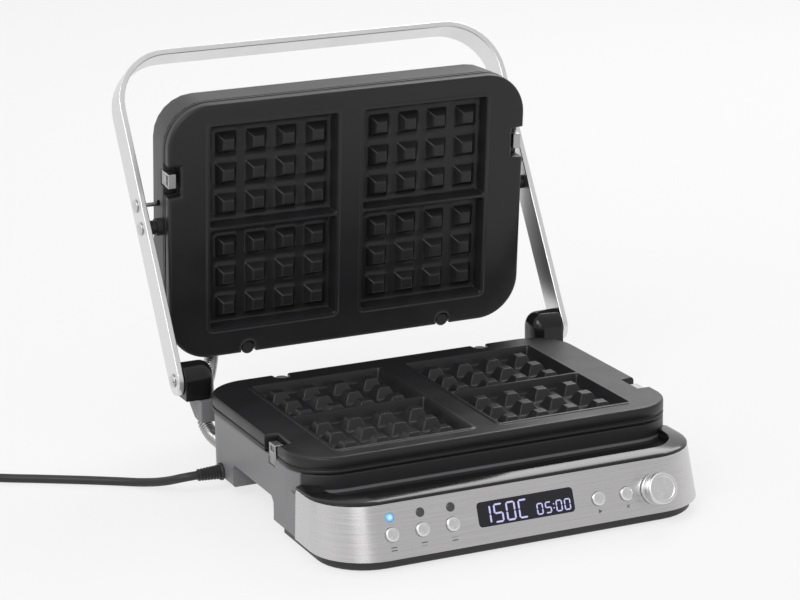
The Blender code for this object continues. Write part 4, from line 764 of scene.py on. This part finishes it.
printed_sign = finish("printed_sign", (0.10, 0.10, 0.105), 0.5)
sign_low, bar_wide, bar_thin, bar_half, bar_pitch = -0.0345, 0.0008, 0.00028, 0.0024, 0.0022
cross_half, cross_wide = 0.0018, 0.0006
marks = []
for x, levels in ((mode_x[0], (0, 1)), (mode_x[1], (1,)), (mode_x[2], (0,))):
    for level in (0, 1):
        wide = bar_wide if level in levels else bar_thin
        y = sign_low + bar_pitch * level
        low_y, high_y = y - wide / 2, y + wide / 2
        marks.append([(x - bar_half, low_y), (x + bar_half, low_y),
                      (x + bar_half, high_y), (x - bar_half, high_y)])
middle = sign_low + bar_pitch
back, tip, rise = start_x - 0.0012, start_x + 0.0018, 0.0017
marks.append([(back, middle - rise), (tip, middle), (back, middle + rise)])
for turn in (0.25, 0.75):
    c, s = math.cos(math.pi * turn) * cross_half, math.sin(math.pi * turn) * cross_half
    marks.append(bar(cancel_x - c, middle - s, cancel_x + c, middle + s, cross_wide))
flat_marks("printed_signs", marks, printed_sign, -0.0002, 0.00003)

# wire hose
# The lid's wires run in a hose wound from a steel strip, its ribs on a fixed pitch. It leaves the back
# of the body, follows the arms at the hinge and enters the lid. It is made in two stretches that meet at the
# bend by the hinge, both fixed in the open pose.
hose_radius, hose_root, hose_pitch = 0.0060, 0.0047, 0.0032


def smooth_line(points, step):
    """Catmull-Rom line through the points, sampled every step of its length: each piece is a cubic whose
    tangent at a point is half the way between its neighbours."""
    p = np.vstack((2 * points[0] - points[1], points, 2 * points[-1] - points[-2]))
    u = np.linspace(0.0, 1.0, 60, endpoint=False)[None, :, None]
    a, b, c, d = p[:-3, None], p[1:-2, None], p[2:-1, None], p[3:, None]
    square, cube = 2 * a - 5 * b + 4 * c - d, 3 * b - a - 3 * c + d
    line = 0.5 * (2 * b + (c - a) * u + square * u ** 2 + cube * u ** 3)
    line = np.vstack((line.reshape(-1, 3), p[-2]))
    run = np.concatenate(([0.0], np.cumsum(np.linalg.norm(np.diff(line, axis=0), axis=1))))
    spots = np.linspace(0.0, run[-1], int(round(run[-1] / step)) + 1)
    return np.stack([np.interp(spots, run, line[:, k]) for k in range(3)], 1), spots


def hose_mesh(line, radii, count=40):
    """Rings of unlike radius round a line: p + r (cos t s + sin t u), with s square to the line and nearest
    X, and u square to both; a pole closes each end."""
    way = np.gradient(line, axis=0)
    way /= np.linalg.norm(way, axis=1)[:, None]
    side = np.array([1.0, 0.0, 0.0]) - way[:, :1] * way
    side /= np.linalg.norm(side, axis=1)[:, None]
    up = np.cross(way, side)
    line = np.vstack((line[:1], line, line[-1:]))
    side, up = np.vstack((side[:1], side, side[-1:])), np.vstack((up[:1], up, up[-1:]))
    radii = np.concatenate(([0.0], radii, [0.0]))
    t = np.arange(count) * 2 * np.pi / count
    spokes = np.cos(t)[None, :, None] * side[:, None] + np.sin(t)[None, :, None] * up[:, None]
    points = line[:, None] + radii[:, None, None] * spokes
    index = np.arange(len(radii) * count).reshape(len(radii), count)
    after = np.roll(index, -1, 1)
    return points.reshape(-1, 3), np.stack((index[:-1], after[:-1], after[1:], index[1:]), 2).reshape(-1, 4)


hose_bend = (-0.1400, 0.1575, 0.0435)
hose_route = [(-0.142, 0.1035, 0.023), (-0.142, 0.117, 0.023), (-0.142, 0.136, 0.0242),
              (-0.142, 0.1505, 0.0310), hose_bend, (-0.1340, 0.1670, 0.0550), (-0.1250, 0.1830, 0.0600),
              (-0.1145, 0.2041, 0.0677), (-0.1145, 0.20335, 0.07465), (-0.1145, 0.2026, 0.0816)]
hose_line, hose_run = smooth_line(np.array(hose_route) + (0.0, shift, 0.0), hose_pitch / 8)
rib = 0.5 + 0.5 * np.cos(2 * np.pi * hose_run / hose_pitch)
hose_radii = hose_root + (hose_radius - hose_root) * rib
from_bend = hose_line - np.array(hose_bend) - (0.0, shift, 0.0)
hose_middle = int(np.argmin(np.linalg.norm(from_bend, axis=1)))
hose_steel = finish("hose_steel", (0.50, 0.49, 0.48), 0.30, 1.0, grain=1800.0, depth=0.00001, cloud=120.0,
                    shade=0.10)
# The rib roots carry a painted shade: the hose's colour turns dark grey down in each groove between the ribs.
groove_shade = hose_steel.node_tree.nodes.new("ShaderNodeAttribute")
groove_shade.attribute_name = "painted_groove_shade"
overlay(hose_steel, groove_shade.outputs["Fac"], (0.07, 0.07, 0.07))
hose_last = len(hose_line) - 1
stretches = (("hose_lower", "base", "arms", 0, hose_middle),
             ("hose_upper", "arms", "lid", hose_middle, hose_last))
for name, a, b, first, last in stretches:
    centres = hose_line[first:last + 1]
    hose = piece(name, *hose_mesh(centres, hose_radii[first:last + 1]), hose_steel, None, None, 80.0)
    spots = np.empty(len(hose.data.vertices) * 3)
    hose.data.vertices.foreach_get("co", spots)
    away = np.linalg.norm(spots.reshape(-1, 1, 3) - centres[None], axis=2).min(axis=1)
    # Share of painted shade at each point: 1 down in a groove, falling to 0 towards the crest of a rib.
    depth = 1.0 - np.clip((away - hose_root) / (0.7 * (hose_radius - hose_root)), 0.0, 1.0)
    hose.data.attributes.new("painted_groove_shade", "FLOAT", "POINT").data.foreach_set("value", depth)
    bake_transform(hose)
    if first == 0:
        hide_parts("wire_hose")

# cord
# The mains cord leaves the left wall through a ribbed rubber relief, runs over the floor, lies in a
# coil and ends in a round moulded plug with two pins.
cord_radius, cord_length, exit_x, exit_y, exit_z, floor_z = 0.0035, 1.126, -0.1522, 0.066, 0.0155, 0.0036
coil_radius, coil_rise, coil_x, coil_y = 0.0385, 0.0078, -0.380, 0.169
coil_start, coil_turns, coil_steps = math.radians(58), 3 + 1 / 3, 80
plug_radius, pin_gap = 0.0182, 0.019
black_rubber = finish("black_cord", (0.016, 0.016, 0.016), 0.50, grain=1200.0, depth=0.00003)
turns = coil_turns * np.arange(coil_steps + 1) / coil_steps
turn = coil_start + 2 * math.pi * turns
loops = np.stack((coil_x + coil_radius * np.cos(turn), coil_y + coil_radius * np.sin(turn),
                  floor_z + coil_rise * turns), 1)
start_way = np.array((-math.sin(turn[0]), math.cos(turn[0]), 0.0))
end_way = np.array((-math.sin(turn[-1]), math.cos(turn[-1]), 0.0))
leave = loops[-1] + end_way * 0.0073
plug_spot = np.array((leave[0] - 0.001, leave[1] - 0.052, plug_radius + 0.0003))
free_stretch = [(exit_x, exit_y, exit_z), (-0.166, exit_y, exit_z), (-0.174, exit_y, exit_z),
                (-0.182, exit_y, exit_z), (-0.1905, 0.0688, 0.0143), (-0.201, 0.0805, 0.0096),
                (-0.213, 0.0975, 0.0052), (-0.229, 0.1135, floor_z), (-0.252, 0.1290, floor_z),
                (-0.282, 0.1480, floor_z), (-0.317, 0.1700, floor_z), loops[0] - start_way * 0.0193]
plug_lead = [leave, leave + end_way * 0.010, leave + (-0.0005, -0.028, -0.0055),
             plug_spot + (0.0, 0.010, 0.0), plug_spot]
cord_points = np.vstack((free_stretch, loops, plug_lead)) + (0.0, shift, 0.0)
cord_curve = bpy.data.curves.new("mains_cord", "CURVE")
cord_curve.dimensions = "3D"
cord_curve.bevel_depth = cord_radius
cord_curve.bevel_resolution = 6
cord_curve.resolution_u = 8
cord_curve.use_fill_caps = True
spline = cord_curve.splines.new("BEZIER")
spline.bezier_points.add(len(cord_points) - 1)
spline.bezier_points.foreach_set("co", cord_points.ravel())
for knot in spline.bezier_points:
    knot.handle_left_type = "AUTO"
    knot.handle_right_type = "AUTO"
cord_curve.materials.append(black_rubber)
mains_cord = bpy.data.objects.new("mains_cord", cord_curve)
bpy.context.scene.collection.objects.link(mains_cord)

plug_profile = [(0.0, 0.0), (0.0042, 0.0), (0.0048, 0.0006)]
for i in range(5):
    low, grow = 0.0016 + 0.0025 * i, 0.0001 * i
    plug_profile += [(0.0048 + grow, low), (0.0042 + grow, low + 0.0004),
                     (0.0042 + grow, low + 0.0010), (0.0049 + grow, low + 0.0014)]
plug_profile += [(0.0060, 0.0160), (0.0085, 0.0182), (0.0110, 0.0210), (0.0128, 0.0245), (0.0140, 0.0280)]
for i in range(4):
    low = 0.0290 + 0.0024 * i
    plug_profile += [(0.01425, low), (0.01375, low + 0.0005),
                     (0.01375, low + 0.0012), (0.0144, low + 0.0017)]
r = plug_radius
plug_profile += [(0.0150, 0.0395), (0.0160, 0.0408), (0.0176, 0.0420), (r, 0.0430), (r, 0.0500),
                 (r - 0.0003, 0.0503), (r - 0.0003, 0.0507), (r, 0.0510), (r, 0.0583), (r - 0.0006, 0.0591),
                 (r - 0.0014, 0.0595), (0.0, 0.0595)]
plug_place = move(plug_spot[0], plug_spot[1] + shift, plug_spot[2]) @ turn_x(math.pi / 2)
plug_body = piece("plug_body", *turned(plug_profile), black_rubber, plug_place, None, 40.0)
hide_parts("plug")
pin_profile = ((0.0, 0.0585), (0.0024, 0.0585), (0.0024, 0.0765), (0.0022, 0.0775), (0.0016, 0.0783),
               (0.0, 0.0785))
plug_pins = []
for label, side in (("left", -1), ("right", 1)):
    place = plug_place @ move(side * pin_gap / 2, 0.0, 0.0)
    plug_pins.append(piece("plug_pin_" + label, *turned(pin_profile, 32), plated, place, None, 40.0))
for thing in (mains_cord, plug_body, *plug_pins):
    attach(thing, "base")
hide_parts("cord", "cord_coil", "plug_lead")

gland_profile = [(0.0, 0.0008), (0.0058, 0.0008), (0.0058, 0.0083), (0.0070, 0.0083), (0.0070, 0.0098),
                 (0.0066, 0.0106)]
for i in range(7):
    low, wide = 0.0110 + 0.0025 * i, 0.0058 - 0.00016 * i
    gland_profile += [(wide - 0.0007, low), (wide - 0.0007, low + 0.0008), (wide, low + 0.0012),
                      (wide - 0.00005, low + 0.0021)]
gland_profile += [(0.0047, 0.0285), (0.0040, 0.0287), (0.0, 0.0287)]
wall_x, gland_depth = -0.1587, 0.008
along_left = np.array([[0, 0, -1, 0], [0, 1, 0, 0], [1, 0, 0, 0], [0, 0, 0, 1.0]])
gland_place = move(wall_x + gland_depth, exit_y + shift, exit_z) @ along_left
relief = piece("cord_relief", *turned(gland_profile, 48), black_rubber, gland_place, None, 40.0)
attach(relief, "base")
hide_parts("cord_gland")

low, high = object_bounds()
